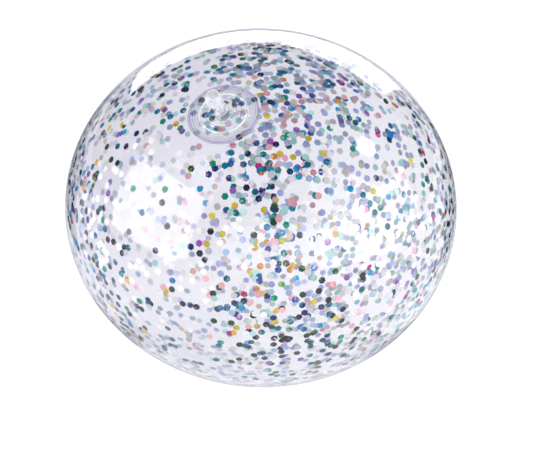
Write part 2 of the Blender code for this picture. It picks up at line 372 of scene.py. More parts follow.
@dataclass(frozen=True)
class FilmFinish:
    """Clear glossy vinyl: what it lets through, what it mirrors and how milky it is.

    Args:
        name: the material's name.
        through: tint of what shows through one face, seen square on.
        thin: tint of what shows through one face where the tint is painted lightest.
        thinning: painted light and shade, lighter where light falls more strongly: how fast the tint goes over
            from through to thin along X, Y and Z, in shares to a metre, or None for an even tint.
        rim: tint at the rim, where the way through the film is long.
        mirror: tint of reflections.
        face_gloss: share mirrored square on.
        rim_gloss: share mirrored at the rim.
        gloss_power: how late the share rises towards the rim.
        tint_power: how late the tint deepens towards the rim.
        milk: white scatter of the vinyl, square on and at the rim.
        milk_power: how late the scatter rises towards the rim.
        haze: roughness of the reflections.
        ripple: height of the faint waves of its surface.
        ripple_scale: how many waves lie in a metre.
        ripple_strength: how far the waves tip the reflections.
        smear_scale: how many smears lie on a wave.
        smear_haze: least and most haze in the smears, as shares of haze.
        streak_centre: middle of the rings of strain that tint the vinyl, or None for none.
        streak_scale: how many rings lie in a metre.
        streak_detail: how finely the rings are broken.
        streak_wander: how far the rings wander, in rings.
        wander_scale: how many times they wander in a metre.
    """

    name: str
    through: Colour = (0.894, 0.891, 0.915)
    thin: Colour = (0.955, 0.954, 0.967)
    thinning: tuple[float, float, float] | None = None
    rim: Colour = (0.10, 0.10, 0.14)
    mirror: Colour = (0.95, 0.95, 0.98)
    face_gloss: float = 0.021
    rim_gloss: float = 0.40
    gloss_power: float = 3.8
    tint_power: float = 22.0
    milk: tuple[float, float] = (0.0, 0.0)
    milk_power: float = 2.0
    haze: float = 0.05
    ripple: float = 0.000012
    ripple_scale: float = 24.0
    ripple_strength: float = 0.6
    smear_scale: float = 2.3
    smear_haze: tuple[float, float] = (0.6, 1.6)
    streak_centre: tuple[float, float, float] | None = None
    streak_scale: float = 640.0
    streak_detail: float = 1.5
    streak_wander: float = 2.4
    wander_scale: float = 55.0

    def streaks(self, graph: Graph, plain: Any) -> Any:
        """Tint the vinyl by broken rings of faint colour, as strain does round a weld.

        Args:
            graph: the material's nodes.
            plain: tint without the rings.

        Returns:
            The tint's colour socket.
        """
        place = graph.add("TexCoord").outputs["Object"]
        radius = graph.vectors("DISTANCE", place, self.streak_centre).outputs["Value"]
        drift = graph.noise(self.wander_scale, detail=1.0).outputs["Fac"]
        wander = graph.spread(drift, 0.0, self.streak_wander)
        turns = graph.maths("ADD", graph.maths("MULTIPLY", radius, self.streak_scale), wander)
        band_sockets = {"W": turns, "Scale": 1.0, "Detail": self.streak_detail}
        bands = graph.add("TexNoise", band_sockets, noise_dimensions="1D")
        ramp = graph.ramp(bands.outputs["Fac"], STRAIN_COLOURS)
        return graph.mix(1.0, plain, ramp, blend_type="MULTIPLY")

    def build(self) -> bpy.types.Material:
        """Make the material.

        Returns:
            The material.
        """
        graph = Graph(self.name)
        facing = graph.add("LayerWeight", {"Blend": 0.5}).outputs["Facing"]
        gloss_rise = graph.maths("POWER", facing, self.gloss_power)
        gloss = graph.spread(gloss_rise, self.face_gloss, self.rim_gloss)
        tint_rise = graph.maths("POWER", facing, self.tint_power)
        square_on: Any = opaque(self.through)
        # Painted light and shade: the tint goes lighter along one direction, for light that falls more strongly on
        # that side.
        if self.thinning is not None:
            place = graph.add("TexCoord").outputs["Object"]
            share = graph.vectors("DOT_PRODUCT", place, self.thinning).outputs["Value"]
            painted_light_share = graph.add("Clamp", {"Value": graph.maths("ADD", share, 1.0)}).outputs[0]
            square_on = graph.mix(painted_light_share, square_on, opaque(self.thin))
        if self.streak_centre is not None:
            square_on = self.streaks(graph, square_on)
        tint = graph.mix(tint_rise, square_on, opaque(self.rim))
        waves = graph.noise(self.ripple_scale, detail=1.0).outputs["Fac"]
        normal = graph.bump(waves, self.ripple_strength, self.ripple)
        smears = graph.noise(self.ripple_scale * self.smear_scale, detail=3.0).outputs["Fac"]
        haze = graph.spread(smears, *(self.haze * share for share in self.smear_haze))
        body = graph.add("BsdfTransparent", {"Color": tint}).outputs[0]
        if self.milk[1] > 0:
            milk_rise = graph.maths("POWER", facing, self.milk_power)
            milk = graph.spread(milk_rise, *self.milk)
            front = graph.add("BsdfDiffuse", {"Color": opaque(self.mirror)}).outputs[0]
            behind = graph.add("BsdfTranslucent", {"Color": opaque(self.mirror)}).outputs[0]
            scatter = graph.add("MixShader", {0: 0.5, 1: front, 2: behind}).outputs[0]
            body = graph.add("MixShader", {0: milk, 1: body, 2: scatter}).outputs[0]
        gloss_sockets = {"Color": opaque(self.mirror), "Roughness": haze, "Normal": normal}
        shine = graph.add("BsdfAnisotropic", gloss_sockets).outputs[0]
        mixed = graph.add("MixShader", {0: gloss, 1: body, 2: shine})
        return graph.finish(mixed.outputs[0])


@dataclass(frozen=True)
class FoilFinish:
    """Holographic foil: a deep colour on the side pressed to the film and a pale one inside.

    Args:
        name: the material's name.
        outer: colour of the side that faces out of the ball.
        inner: colour of the side that faces into it.
        centre: middle of the ball, which tells the two sides apart.
        roughness: of the foil.
        bend: index of refraction, which sets how strongly the foil mirrors.
        sliver_share: how far slivers of other colours hide the foil's own.
        hue_swing: how far the hue wanders from flake to flake and across each.
        hue_scale: how many times it wanders in a metre.
        saturation: how vivid the colour is, where 1 leaves it alone.
        lightness: how light the darkest and the lightest flakes are, where 1 leaves the colour alone.
        grain_scale: how many grains of the foil lie in a metre.
        grain: least and most roughness in the grains, as shares of roughness.
        sliver_scale: how many slivers lie in a metre.
        sliver_level: the higher, the fewer slivers show.
        sliver_edge: how soft their edges are.
        sliver_hue_scale: how many times their hue changes in a metre.
        sliver_saturation: how vivid they are.
        sliver_lightness: how light they are, as painted glints.
    """

    name: str
    outer: Colour
    inner: Colour
    centre: tuple[float, float, float]
    roughness: float
    bend: float
    sliver_share: float
    hue_swing: float = 0.08
    hue_scale: float = 330.0
    saturation: float = 1.05
    lightness: tuple[float, float] = (0.78, 1.30)
    grain_scale: float = 2600.0
    grain: tuple[float, float] = (0.7, 1.4)
    sliver_scale: float = 480.0
    sliver_level: float = 0.63
    sliver_edge: float = 0.06
    sliver_hue_scale: float = 95.0
    sliver_saturation: float = 1.9
    sliver_lightness: float = 1.45

    def slivers(self, graph: Graph, plain: Any) -> Any:
        """Lay bright slivers of other colours on some flakes: painted glints, fixed in the colour, for the sparkle
        that holographic foil shows at its edges.

        Args:
            graph: the material's nodes.
            plain: the foil's colour without them.

        Returns:
            The colour socket.
        """
        patches = graph.noise(self.sliver_scale).outputs["Fac"]
        top = self.sliver_level + self.sliver_edge
        level = {"Value": patches, "From Min": self.sliver_level, "From Max": top}
        shown = graph.maths("MULTIPLY", graph.add("MapRange", level).outputs["Result"], self.sliver_share)
        # Painted glint: the slivers are lighter and more vivid than the foil's colour, as a fixed highlight.
        chance = graph.noise(self.sliver_hue_scale).outputs["Color"]
        vivid = {"Saturation": self.sliver_saturation, "Value": self.sliver_lightness, "Color": chance}
        bright = graph.add("HueSaturation", vivid).outputs[0]
        return graph.mix(shown, plain, bright)

    def build(self) -> bpy.types.Material:
        """Make the material.

        Returns:
            The material.
        """
        graph = Graph(self.name)
        geometry = graph.add("NewGeometry")
        outward = graph.vectors("SUBTRACT", geometry.outputs["Position"], self.centre).outputs[0]
        faces_out = graph.vectors("DOT_PRODUCT", outward, geometry.outputs["True Normal"]).outputs["Value"]
        is_outer = graph.maths("GREATER_THAN", faces_out, 0.0)
        colour = graph.mix(is_outer, opaque(self.inner), opaque(self.outer))
        drift = graph.noise(self.hue_scale).outputs["Fac"]
        hue = graph.spread(drift, 0.5 - self.hue_swing, 0.5 + self.hue_swing)
        value = graph.spread(geometry.outputs["Random Per Island"], *self.lightness)
        hue_sockets = {"Hue": hue, "Saturation": self.saturation, "Value": value, "Color": colour}
        shifted = graph.add("HueSaturation", hue_sockets)
        colour = self.slivers(graph, shifted.outputs[0])
        grain = graph.noise(self.grain_scale, detail=1.0).outputs["Fac"]
        roughness = graph.spread(grain, *(self.roughness * share for share in self.grain))
        foil_sockets = {"Base Color": colour, "Roughness": roughness, "IOR": self.bend}
        return graph.finish(graph.add("BsdfPrincipled", foil_sockets).outputs[0])


@dataclass(frozen=True)
class FloorFinish:
    """Plain white floor. It stays white to the eye and in reflections, and keeps the shadow.

    Args:
        name: the material's name.
        colour: of the floor.
        lift: how much whiter the floor looks than its lamps make it.
    """

    name: str = "white floor"
    colour: Colour = (0.50, 0.50, 0.51)
    lift: float = 0.80

    def build(self) -> bpy.types.Material:
        """Make the material.

        Returns:
            The material.
        """
        graph = Graph(self.name)
        path = graph.add("LightPath")
        seen = graph.maths("ADD", path.outputs["Is Camera Ray"], path.outputs["Is Glossy Ray"])
        seen = graph.maths("ADD", seen, path.outputs["Is Transmission Ray"])
        seen = graph.maths("MINIMUM", seen, 1.0)
        strength = graph.maths("MULTIPLY", seen, self.lift)
        glow = graph.add("Emission", {"Color": opaque(WHITE), "Strength": strength})
        paint = graph.add("BsdfDiffuse", {"Color": opaque(self.colour)})
        both = graph.add("AddShader", {0: paint.outputs[0], 1: glow.outputs[0]})
        return graph.finish(both.outputs[0])


def mesh_object(
    name: str,
    points: np.ndarray,
    faces: Sequence[Sequence[int]],
    material: bpy.types.Material,
    smooth: bool = True,
) -> bpy.types.Object:
    """Make a mesh piece.

    Args:
        name: the piece's name.
        points: rows of points.
        faces: corners of each face, counted anticlockwise from outside.
        material: its finish.
        smooth: whether it is shaded smooth.

    Returns:
        The object, linked to the scene.
    """
    mesh = bpy.data.meshes.new(name)
    mesh.from_pydata(points.tolist(), [], [list(face) for face in faces])
    mesh.materials.append(material)
    if smooth:
        mesh.shade_smooth()
    mesh.update()
    obj = bpy.data.objects.new(name, mesh)
    bpy.context.scene.collection.objects.link(obj)
    return obj


def ring_faces(first: int, second: int, count: int) -> list[tuple[int, int, int, int]]:
    """Quads between two rings of points.

    Args:
        first: number of the first ring's first point.
        second: number of the second ring's first point.
        count: points in each ring.

    Returns:
        The quads.
    """
    return [
        (first + i, second + i, second + (i + 1) % count, first + (i + 1) % count)
        for i in range(count)
    ]


def turned_piece(
    name: str,
    section: Sequence[tuple[float, float]],
    place: Callable[[float, float, np.ndarray], np.ndarray],
    material: bpy.types.Material,
    segments: int = 96,
) -> bpy.types.Object:
    """Carry a section round an axis, into a closed piece.

    Args:
        name: the piece's name.
        section: (radius, height) points down the outer side. A first or last radius of 0 closes on the axis,
            and otherwise the section closes on itself.
        place: gives a ring of points from a radius, a height and the angles round the axis.
        material: its finish.
        segments: points in each ring.

    Returns:
        The object.
    """
    angles = turn_angles(segments)
    rings, starts, total = [], [], 0
    for radius, height in section:
        on_axis = radius == 0
        ring = place(radius, height, angles[:1] if on_axis else angles)
        rings.append(ring)
        starts.append((total, on_axis))
        total += len(ring)
    pairs = list(zip(starts, starts[1:]))
    if not (starts[0][1] or starts[-1][1]):
        pairs.append((starts[-1], starts[0]))
    faces: list[tuple[int, ...]] = []
    for (upper, upper_point), (lower, lower_point) in pairs:
        for i in range(segments):
            after = (i + 1) % segments
            if upper_point:
                faces.append((upper, lower + i, lower + after))
            elif lower_point:
                faces.append((upper + i, lower, upper + after))
            else:
                faces.append((upper + i, lower + i, lower + after, upper + after))
    return mesh_object(name, np.concatenate(rings), faces, material)


def arc(
    centre: tuple[float, float], radius: float, start: float, stop: float, steps: int = 6
) -> list[tuple[float, float]]:
    """Points on a circle from one angle to another, in degrees.

    Args:
        centre: of the circle.
        radius: of the circle.
        start: first angle.
        stop: last angle.
        steps: how many steps lie between.

    Returns:
        The points.
    """
    angles = np.radians(np.linspace(start, stop, steps + 1))
    return [(centre[0] + radius * math.cos(a), centre[1] + radius * math.sin(a)) for a in angles]


@dataclass
class ValveSeat:
    """Where the valve sits in the skin and which way its stem leans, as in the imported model.

    Args:
        ball: the ball that it sits in.
        latitude: how far up the skin's normal points.
        azimuth: how far round from the front it points.
        hole_width: width of the hole in the skin.
        gap: between pieces that touch.

    Attributes:
        place: where the valve's axis meets the skin.
        normal: the valve's axis, outwards.
        right: across the axis, to the right.
        up: across the axis, towards the top of the ball.
        stem: the stem's axis, outwards.
        stem_right: across the stem's axis, to the right.
    """

    ball: BallShape
    latitude: float = math.radians(58.5)
    azimuth: float = math.radians(-21.5)
    hole_width: float = 0.0286
    gap: float = 0.0003
    place: np.ndarray = field(init=False)
    normal: np.ndarray = field(init=False)
    right: np.ndarray = field(init=False)
    up: np.ndarray = field(init=False)
    stem: np.ndarray = field(init=False)
    stem_right: np.ndarray = field(init=False)

    def __post_init__(self) -> None:
        """Work the two frames out from the ball and the stem's joint."""
        level = math.cos(self.latitude)
        self.normal = np.array(
            [level * math.sin(self.azimuth), -level * math.cos(self.azimuth), math.sin(self.latitude)]
        )
        stretched = self.ball.axes**2 * self.normal
        self.place = self.ball.centre + stretched / math.sqrt(stretched @ self.normal)
        sideways = np.array([1.0, 0.0, 0.0])
        self.right = unit(sideways - self.normal * (sideways @ self.normal))
        self.up = np.cross(self.normal, self.right)
        push = next(joint for joint in frame["joints"] if joint["name"] == "stem_push")
        self.stem = -unit(np.array(push["axis"], float))
        self.stem_right = unit(np.cross(self.up, self.stem))

    @property
    def hole_radius(self) -> float:
        """Half the hole's width."""
        return self.hole_width / 2

    def under_skin(self, radius: float, depth: float, angles: np.ndarray) -> np.ndarray:
        """A ring about the valve's axis that follows the skin.

        Args:
            radius: distance from the axis.
            depth: depth under the skin's outer face.
            angles: angles round the axis.

        Returns:
            Rows of points.
        """
        points = []
        for angle in angles:
            flat = self.place + radius * (math.cos(angle) * self.right + math.sin(angle) * self.up)
            met = self.ball.meet(flat, -self.normal, Side.NEAR)
            points.append(met if met is not None else flat)
        ring = np.array(points)
        return ring - self.ball.normal(ring) * depth

    def on_stem(self, radius: float, height: float, angles: np.ndarray) -> np.ndarray:
        """A ring about the stem's axis.

        Args:
            radius: distance from the axis.
            height: along the stem, from the skin outwards.
            angles: angles round the axis.

        Returns:
            Rows of points.
        """
        across = np.outer(np.cos(angles), self.stem_right) + np.outer(np.sin(angles), self.up)
        return self.place + radius * across + height * self.stem


@dataclass
class Skin:
    """The seamless clear skin, with a rolled weld bead round the valve's hole.

    Args:
        ball: the ball's shape.
        seat: where the valve's hole is.
        segments: points round the valve's axis.
        rings: rings from the hole to the far side.
        bead_width: width of the weld bead.
        bead_height: how far the bead stands proud.
        bead_rings: rings across the bead.
    """

    ball: BallShape
    seat: ValveSeat
    segments: int = 224
    rings: int = 168
    bead_width: float = 0.0015
    bead_height: float = 0.00045
    bead_rings: int = 8

    def polar_rings(self) -> list[np.ndarray]:
        """Rings of the ball's surface about the valve, the first on the hole's edge.

        Returns:
            One array of points to a ring.
        """
        edge = self.seat.under_skin(self.seat.hole_radius, 0.0, turn_angles(self.segments))
        sphere_edge = (edge - self.ball.centre) / self.ball.axes
        pole = unit((self.seat.place - self.ball.centre) / self.ball.axes)
        start = np.arccos(np.clip(sphere_edge @ pole, -1, 1))
        side = unit(sphere_edge - np.outer(sphere_edge @ pole, pole))
        width_share = self.bead_width / (math.pi * self.ball.half_width)
        shares = [width_share * i / self.bead_rings for i in range(self.bead_rings)]
        shares += list(np.linspace(width_share, 1.0, self.rings + 1)[:-1])
        rings = []
        for share in shares:
            polar = (start + (math.pi - start) * share)[:, None]
            rings.append(self.ball.centre + self.ball.axes * (np.cos(polar) * pole + np.sin(polar) * side))
        return rings

    def build(self, finish: FilmFinish) -> bpy.types.Object:
        """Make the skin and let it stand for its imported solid.

        Args:
            finish: the film's finish.

        Returns:
            The object.
        """
        rings = self.polar_rings()
        bottom = 2 * self.ball.centre - self.seat.place
        pole = self.ball.meet(self.ball.centre, bottom - self.ball.centre, Side.FAR)
        outer, inner = [], []
        for number, ring in enumerate(rings):
            normal = self.ball.normal(ring)
            swell = math.sin(math.pi * min(number / self.bead_rings, 1.0)) * self.bead_height
            outer.append(self.ball.on_floor(ring + normal * swell, 0.0))
            inner.append(self.ball.on_floor(ring - normal * self.ball.wall, self.ball.wall))
        pole_normal = self.ball.normal(pole)
        points = np.concatenate(
            outer + [pole[None]] + inner + [(pole - pole_normal * self.ball.wall)[None]]
        )
        count, last = self.segments, len(rings) - 1
        inner_start = len(rings) * count + 1
        faces: list[tuple[int, ...]] = []
        for i in range(last):
            faces += ring_faces(i * count, (i + 1) * count, count)
            faces += ring_faces(inner_start + (i + 1) * count, inner_start + i * count, count)
        outer_pole, inner_pole = inner_start - 1, len(points) - 1
        for i in range(count):
            after = (i + 1) % count
            faces.append((last * count + i, outer_pole, last * count + after))
            faces.append((inner_start + last * count + after, inner_pole, inner_start + last * count + i))
        faces += ring_faces(inner_start, 0, count)
        skin = mesh_object("clear_skin", points, faces, finish.build())
        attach(skin, "ball")
        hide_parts("ball_skin")
        skin.visible_shadow = False
        return skin


@dataclass
class Valve:
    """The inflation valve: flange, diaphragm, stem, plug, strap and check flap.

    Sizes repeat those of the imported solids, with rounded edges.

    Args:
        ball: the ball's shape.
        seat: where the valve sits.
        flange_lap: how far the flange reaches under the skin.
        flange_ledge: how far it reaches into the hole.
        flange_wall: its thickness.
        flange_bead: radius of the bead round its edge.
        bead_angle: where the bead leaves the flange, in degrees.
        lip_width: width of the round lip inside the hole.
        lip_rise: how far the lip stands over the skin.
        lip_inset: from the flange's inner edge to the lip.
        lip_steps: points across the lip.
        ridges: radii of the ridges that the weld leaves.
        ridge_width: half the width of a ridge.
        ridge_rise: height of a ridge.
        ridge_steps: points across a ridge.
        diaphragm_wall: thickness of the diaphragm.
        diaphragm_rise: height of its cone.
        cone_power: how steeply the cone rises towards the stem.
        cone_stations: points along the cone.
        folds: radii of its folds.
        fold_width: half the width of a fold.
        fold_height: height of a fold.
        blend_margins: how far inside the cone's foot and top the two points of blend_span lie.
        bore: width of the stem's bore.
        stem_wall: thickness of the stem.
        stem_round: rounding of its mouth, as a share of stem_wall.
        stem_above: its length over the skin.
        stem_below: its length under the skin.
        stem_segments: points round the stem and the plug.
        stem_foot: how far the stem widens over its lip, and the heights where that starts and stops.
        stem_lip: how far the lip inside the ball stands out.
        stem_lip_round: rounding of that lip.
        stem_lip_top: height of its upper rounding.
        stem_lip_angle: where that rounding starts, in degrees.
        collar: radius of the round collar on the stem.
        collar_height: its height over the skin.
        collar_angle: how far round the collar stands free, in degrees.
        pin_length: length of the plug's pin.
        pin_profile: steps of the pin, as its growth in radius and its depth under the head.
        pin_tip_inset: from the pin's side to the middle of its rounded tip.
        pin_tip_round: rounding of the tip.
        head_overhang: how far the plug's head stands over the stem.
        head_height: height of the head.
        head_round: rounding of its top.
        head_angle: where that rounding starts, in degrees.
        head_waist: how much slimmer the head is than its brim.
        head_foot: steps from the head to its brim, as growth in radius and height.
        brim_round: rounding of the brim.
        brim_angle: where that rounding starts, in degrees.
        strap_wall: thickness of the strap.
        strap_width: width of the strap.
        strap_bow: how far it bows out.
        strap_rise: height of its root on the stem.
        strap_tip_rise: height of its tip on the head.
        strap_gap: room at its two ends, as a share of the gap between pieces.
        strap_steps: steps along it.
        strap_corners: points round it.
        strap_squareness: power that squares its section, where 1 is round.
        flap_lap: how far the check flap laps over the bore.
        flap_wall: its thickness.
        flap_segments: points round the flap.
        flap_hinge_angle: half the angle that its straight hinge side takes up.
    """

    ball: BallShape
    seat: ValveSeat
    flange_lap: float = 0.0064
    flange_ledge: float = 0.0016
    flange_wall: float = 0.0006
    flange_bead: float = 0.00055
    bead_angle: float = 60.0
    lip_width: float = 0.0014
    lip_rise: float = 0.0005
    lip_inset: float = 0.00005
    lip_steps: int = 13
    ridges: tuple[float, ...] = (0.0161, 0.0176, 0.0190)
    ridge_width: float = 0.0005
    ridge_rise: float = 0.00022
    ridge_steps: int = 9
    diaphragm_wall: float = 0.0006
    diaphragm_rise: float = 0.0030
    cone_power: float = 1.6
    cone_stations: int = 72
    folds: tuple[float, ...] = (0.0062, 0.0075, 0.0087, 0.0100)
    fold_width: float = 0.00036
    fold_height: float = 0.00044
    blend_margins: tuple[float, float] = (0.0002, 0.0006)
    bore: float = 0.0046
    stem_wall: float = 0.0014
    stem_round: float = 0.4
    stem_above: float = 0.0105
    stem_below: float = 0.0026
    stem_segments: int = 64
    stem_foot: tuple[float, float, float] = (0.0002, 0.0030, 0.0024)
    stem_lip: float = 0.0007
    stem_lip_round: float = 0.0004
    stem_lip_top: float = 0.0012
    stem_lip_angle: float = 80.0
    collar: float = 0.00045
    collar_height: float = 0.0030
    collar_angle: float = 75.0
    pin_length: float = 0.0068
    pin_profile: tuple[tuple[float, float], ...] = (
        (0.0002, 0.0), (-0.0001, 0.0003), (-0.0001, 0.0018), (0.0, 0.0022), (-0.0001, 0.0026),
        (-0.0003, 0.0048),
    )
    pin_tip_inset: float = 0.0011
    pin_tip_round: float = 0.0006
    head_overhang: float = 0.0013
    head_height: float = 0.0066
    head_round: float = 0.0034
    head_angle: float = 84.0
    head_waist: float = 0.0006
    head_foot: tuple[tuple[float, float], ...] = ((0.0, 0.0014), (0.0001, 0.0012))
    brim_round: float = 0.0005
    brim_angle: float = 70.0
    strap_wall: float = 0.0009
    strap_width: float = 0.0034
    strap_bow: float = 0.0042
    strap_rise: float = 0.0016
    strap_tip_rise: float = 0.0006
    strap_gap: float = 0.3
    strap_steps: int = 28
    strap_corners: int = 16
    strap_squareness: float = 0.5
    flap_lap: float = 0.0009
    flap_wall: float = 0.0005
    flap_segments: int = 48
    flap_hinge_angle: float = math.radians(40.0)

    @property
    def flap_radius(self) -> float:
        """Radius of the check flap."""
        return self.bore / 2 + self.flap_lap

    @property
    def stem_radius(self) -> float:
        """Outer radius of the stem."""
        return self.bore / 2 + self.stem_wall

    @property
    def head_radius(self) -> float:
        """Radius of the plug's head."""
        return self.stem_radius + self.head_overhang

    @property
    def head_seat(self) -> float:
        """Height of the head's underside along the stem."""
        return self.stem_above + self.seat.gap

    @property
    def diaphragm_rim(self) -> float:
        """Outer radius of the diaphragm."""
        return self.seat.hole_radius - self.flange_ledge - self.seat.gap

    @property
    def diaphragm_depth(self) -> float:
        """Depth of the diaphragm's rim under the skin's outer face."""
        return self.ball.wall + self.seat.gap + self.flange_wall / 2

    def build_flange(self, finish: FilmFinish) -> bpy.types.Object:
        """Make the ring that is welded under the skin, with a beaded edge.

        Args:
            finish: the vinyl's finish.

        Returns:
            The object.
        """
        top = self.ball.wall + self.seat.gap
        low = top + self.flange_wall
        inner = self.seat.hole_radius - self.flange_ledge
        outer = self.seat.hole_radius + self.flange_lap
        bead = self.flange_bead
        flat_edge = outer - 3 * bead
        lip_middle = inner + self.lip_width / 2 + self.lip_inset
        section = [(inner, top)]
        for angle in np.linspace(math.pi, 0, self.lip_steps):
            rise = (top + self.lip_rise) * math.sin(angle)
            section.append((lip_middle + self.lip_width / 2 * math.cos(angle), top - rise))
        section.append((self.seat.hole_radius + self.seat.gap, top))
        for ridge in self.ridges:
            for share in np.linspace(-1, 1, self.ridge_steps):
                rise = self.ridge_rise * math.cos(share * math.pi / 2) ** 2
                section.append((ridge + share * self.ridge_width, top - rise))
        section.append((flat_edge, top))
        spine = low - bead
        edge = arc((outer - bead, spine), bead, self.bead_angle, DOWNWARD)
        section += [(r, 2 * spine - d) for r, d in edge]
        section += [(flat_edge, low), (self.seat.hole_radius, low), (inner, low)]
        flange = turned_piece("valve_flange_ring", section, self.seat.under_skin, finish.build())
        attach(flange, "ball")
        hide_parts("valve_flange")
        return flange

    def diaphragm_place(self, radius: float, height: float, angles: np.ndarray) -> np.ndarray:
        """A ring of the diaphragm, which tips over from the valve's axis to the stem's.

        Args:
            radius: distance from the axis.
            height: over the flange.
            angles: angles round the axis.

        Returns:
            Rows of points.
        """
        share = (self.diaphragm_rim - radius) / (self.diaphragm_rim - self.stem_radius)
        lean = min(max(share, 0.0), 1.0) ** 2
        flat = np.outer(np.cos(angles), self.seat.right) + np.outer(np.sin(angles), self.seat.up)
        level = self.seat.under_skin(self.diaphragm_rim, self.diaphragm_depth, angles)
        base = (level - self.seat.place) @ self.seat.normal
        straight = self.seat.place + radius * flat + np.outer(base + height, self.seat.normal)
        tipped = self.seat.on_stem(radius, float(base.mean()) + height, angles)
        return straight * (1 - lean) + tipped * lean

    def diaphragm_section(self) -> list[tuple[float, float]]:
        """Radius and height along the diaphragm's middle: a cone with low round folds."""
        inner = self.stem_radius + self.seat.gap
        stations = np.linspace(inner, self.diaphragm_rim, self.cone_stations)
        line = []
        for radius in stations:
            share = (self.diaphragm_rim - radius) / (self.diaphragm_rim - inner)
            cone = self.diaphragm_rise * share**self.cone_power
            folds = sum(math.exp(-(((radius - fold) / self.fold_width) ** 2)) for fold in self.folds)
            line.append((float(radius), cone + self.fold_height * folds))
        return line

    def under_diaphragm(self, across: float, along: float, drop: float) -> tuple[np.ndarray, np.ndarray]:
        """A place under the diaphragm.

        Args:
            across: to the right of the valve's axis.
            along: towards the top of the ball.
            drop: how far under the vinyl it lies.

        Returns:
            The place and the way the diaphragm faces there.
        """
        angle = np.array([math.atan2(along, across)])
        wanted = math.hypot(across, along)
        span = self.diaphragm_rim - self.stem_radius - self.seat.gap
        rings = []
        for radius in (wanted - self.fold_width, wanted, wanted + self.fold_width):
            share = max(self.diaphragm_rim - radius, 0.0) / span
            cone = self.diaphragm_rise * share**self.cone_power
            rings.append(self.diaphragm_place(radius, cone - self.diaphragm_wall / 2 - drop, angle)[0])
        outward = unit(rings[2] - rings[0])
        around = np.cross(self.seat.normal, outward)
        return rings[1], unit(np.cross(outward, around))

    def build_diaphragm(self, finish: FilmFinish) -> bpy.types.Object:
        """Make the thin folded cone that the stem is pushed in through.

        Args:
            finish: the vinyl's finish.

        Returns:
            The object.
        """
        half = self.diaphragm_wall / 2
        line = self.diaphragm_section()
        section = [(r, z + half) for r, z in line] + [(r, z - half) for r, z in reversed(line)]
        diaphragm = turned_piece("valve_diaphragm_cone", section, self.diaphragm_place, finish.build())
        start, end = self.blend_span()
        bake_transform(diaphragm)
        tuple(start)
        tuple(end)
        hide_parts("valve_diaphragm")
        return diaphragm

    def blend_span(self, drop: float = 0.0) -> tuple[tuple[float, ...], tuple[float, ...]]:
        """Two points on the valve's axis, inside the cone's foot and top.

        Args:
            drop: how far under the diaphragm a piece lies.

        Returns:
            The start and the end.
        """
        ring = self.seat.under_skin(self.diaphragm_rim, self.diaphragm_depth, np.zeros(1))[0]
        level = (ring - self.seat.place) @ self.seat.normal - drop
        foot, top = self.blend_margins
        start = self.seat.place + self.seat.normal * (level + foot)
        end = self.seat.place + self.seat.normal * (level + self.diaphragm_rise - top)
        return tuple(start), tuple(end)

    def build_stem(self, finish: FilmFinish) -> bpy.types.Object:
        """Make the mouth tube with its rounded top and its lip inside.

        Args:
            finish: the vinyl's finish.

        Returns:
            The object.
        """
        bore, outer, lip = self.bore / 2, self.stem_radius, self.stem_radius + self.stem_lip
        round_over, lip_round = self.stem_wall * self.stem_round, self.stem_lip_round
        top, bottom = self.stem_above, -self.stem_below
        widening, foot_start, foot_stop = self.stem_foot
        section = arc((bore + round_over, top - round_over), round_over, INWARD, UPWARD, steps=4)
        section += arc((outer - round_over, top - round_over), round_over, UPWARD, OUTWARD, steps=4)
        section += [(outer, self.collar_height + self.collar)]
        free = self.collar_angle
        section += arc((outer, self.collar_height), self.collar, free, -free, steps=8)
        section += [(outer, bottom + foot_start), (outer + widening, bottom + foot_stop)]
        lip_top = (lip - lip_round, bottom + self.stem_lip_top)
        section += arc(lip_top, lip_round, self.stem_lip_angle, OUTWARD, steps=4)
        section += arc((lip - lip_round, bottom + lip_round), lip_round, OUTWARD, DOWNWARD, steps=4)
        section += [(bore, bottom)]
        stem = turned_piece("valve_stem_tube", section, self.seat.on_stem, finish.build(), self.stem_segments)
        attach(stem, "stem")
        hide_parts("valve_stem")
        return stem

    def build_plug(self, finish: FilmFinish) -> bpy.types.Object:
        """Make the stopper: a tall round head over a tapered pin with a sealing ridge.

        Args:
            finish: the vinyl's finish.

        Returns:
            The object.
        """
        seat, top = self.head_seat, self.head_seat + self.head_height
        waist, pin = self.head_radius - self.head_waist, self.bore / 2 - self.seat.gap
        brim, tip_round = self.brim_round, self.pin_tip_round
        tip = seat - self.pin_length
        section = [(0.0, top), (waist - self.head_round, top)]
        dome = (waist - self.head_round, top - self.head_round)
        section += arc(dome, self.head_round, self.head_angle, OUTWARD, steps=12)
        section += [(waist + growth, seat + rise) for growth, rise in self.head_foot]
        section += arc((self.head_radius - brim, seat + brim), brim, self.brim_angle, DOWNWARD, steps=8)
        section += [(pin + growth, seat - depth) for growth, depth in self.pin_profile]
        section += arc((pin - self.pin_tip_inset, tip + tip_round), tip_round, OUTWARD, DOWNWARD, steps=4)
        section += [(0.0, tip)]
        plug = turned_piece("stopper_plug", section, self.seat.on_stem, finish.build(), self.stem_segments)
        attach(plug, "plug")
        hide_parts("plug")
        return plug

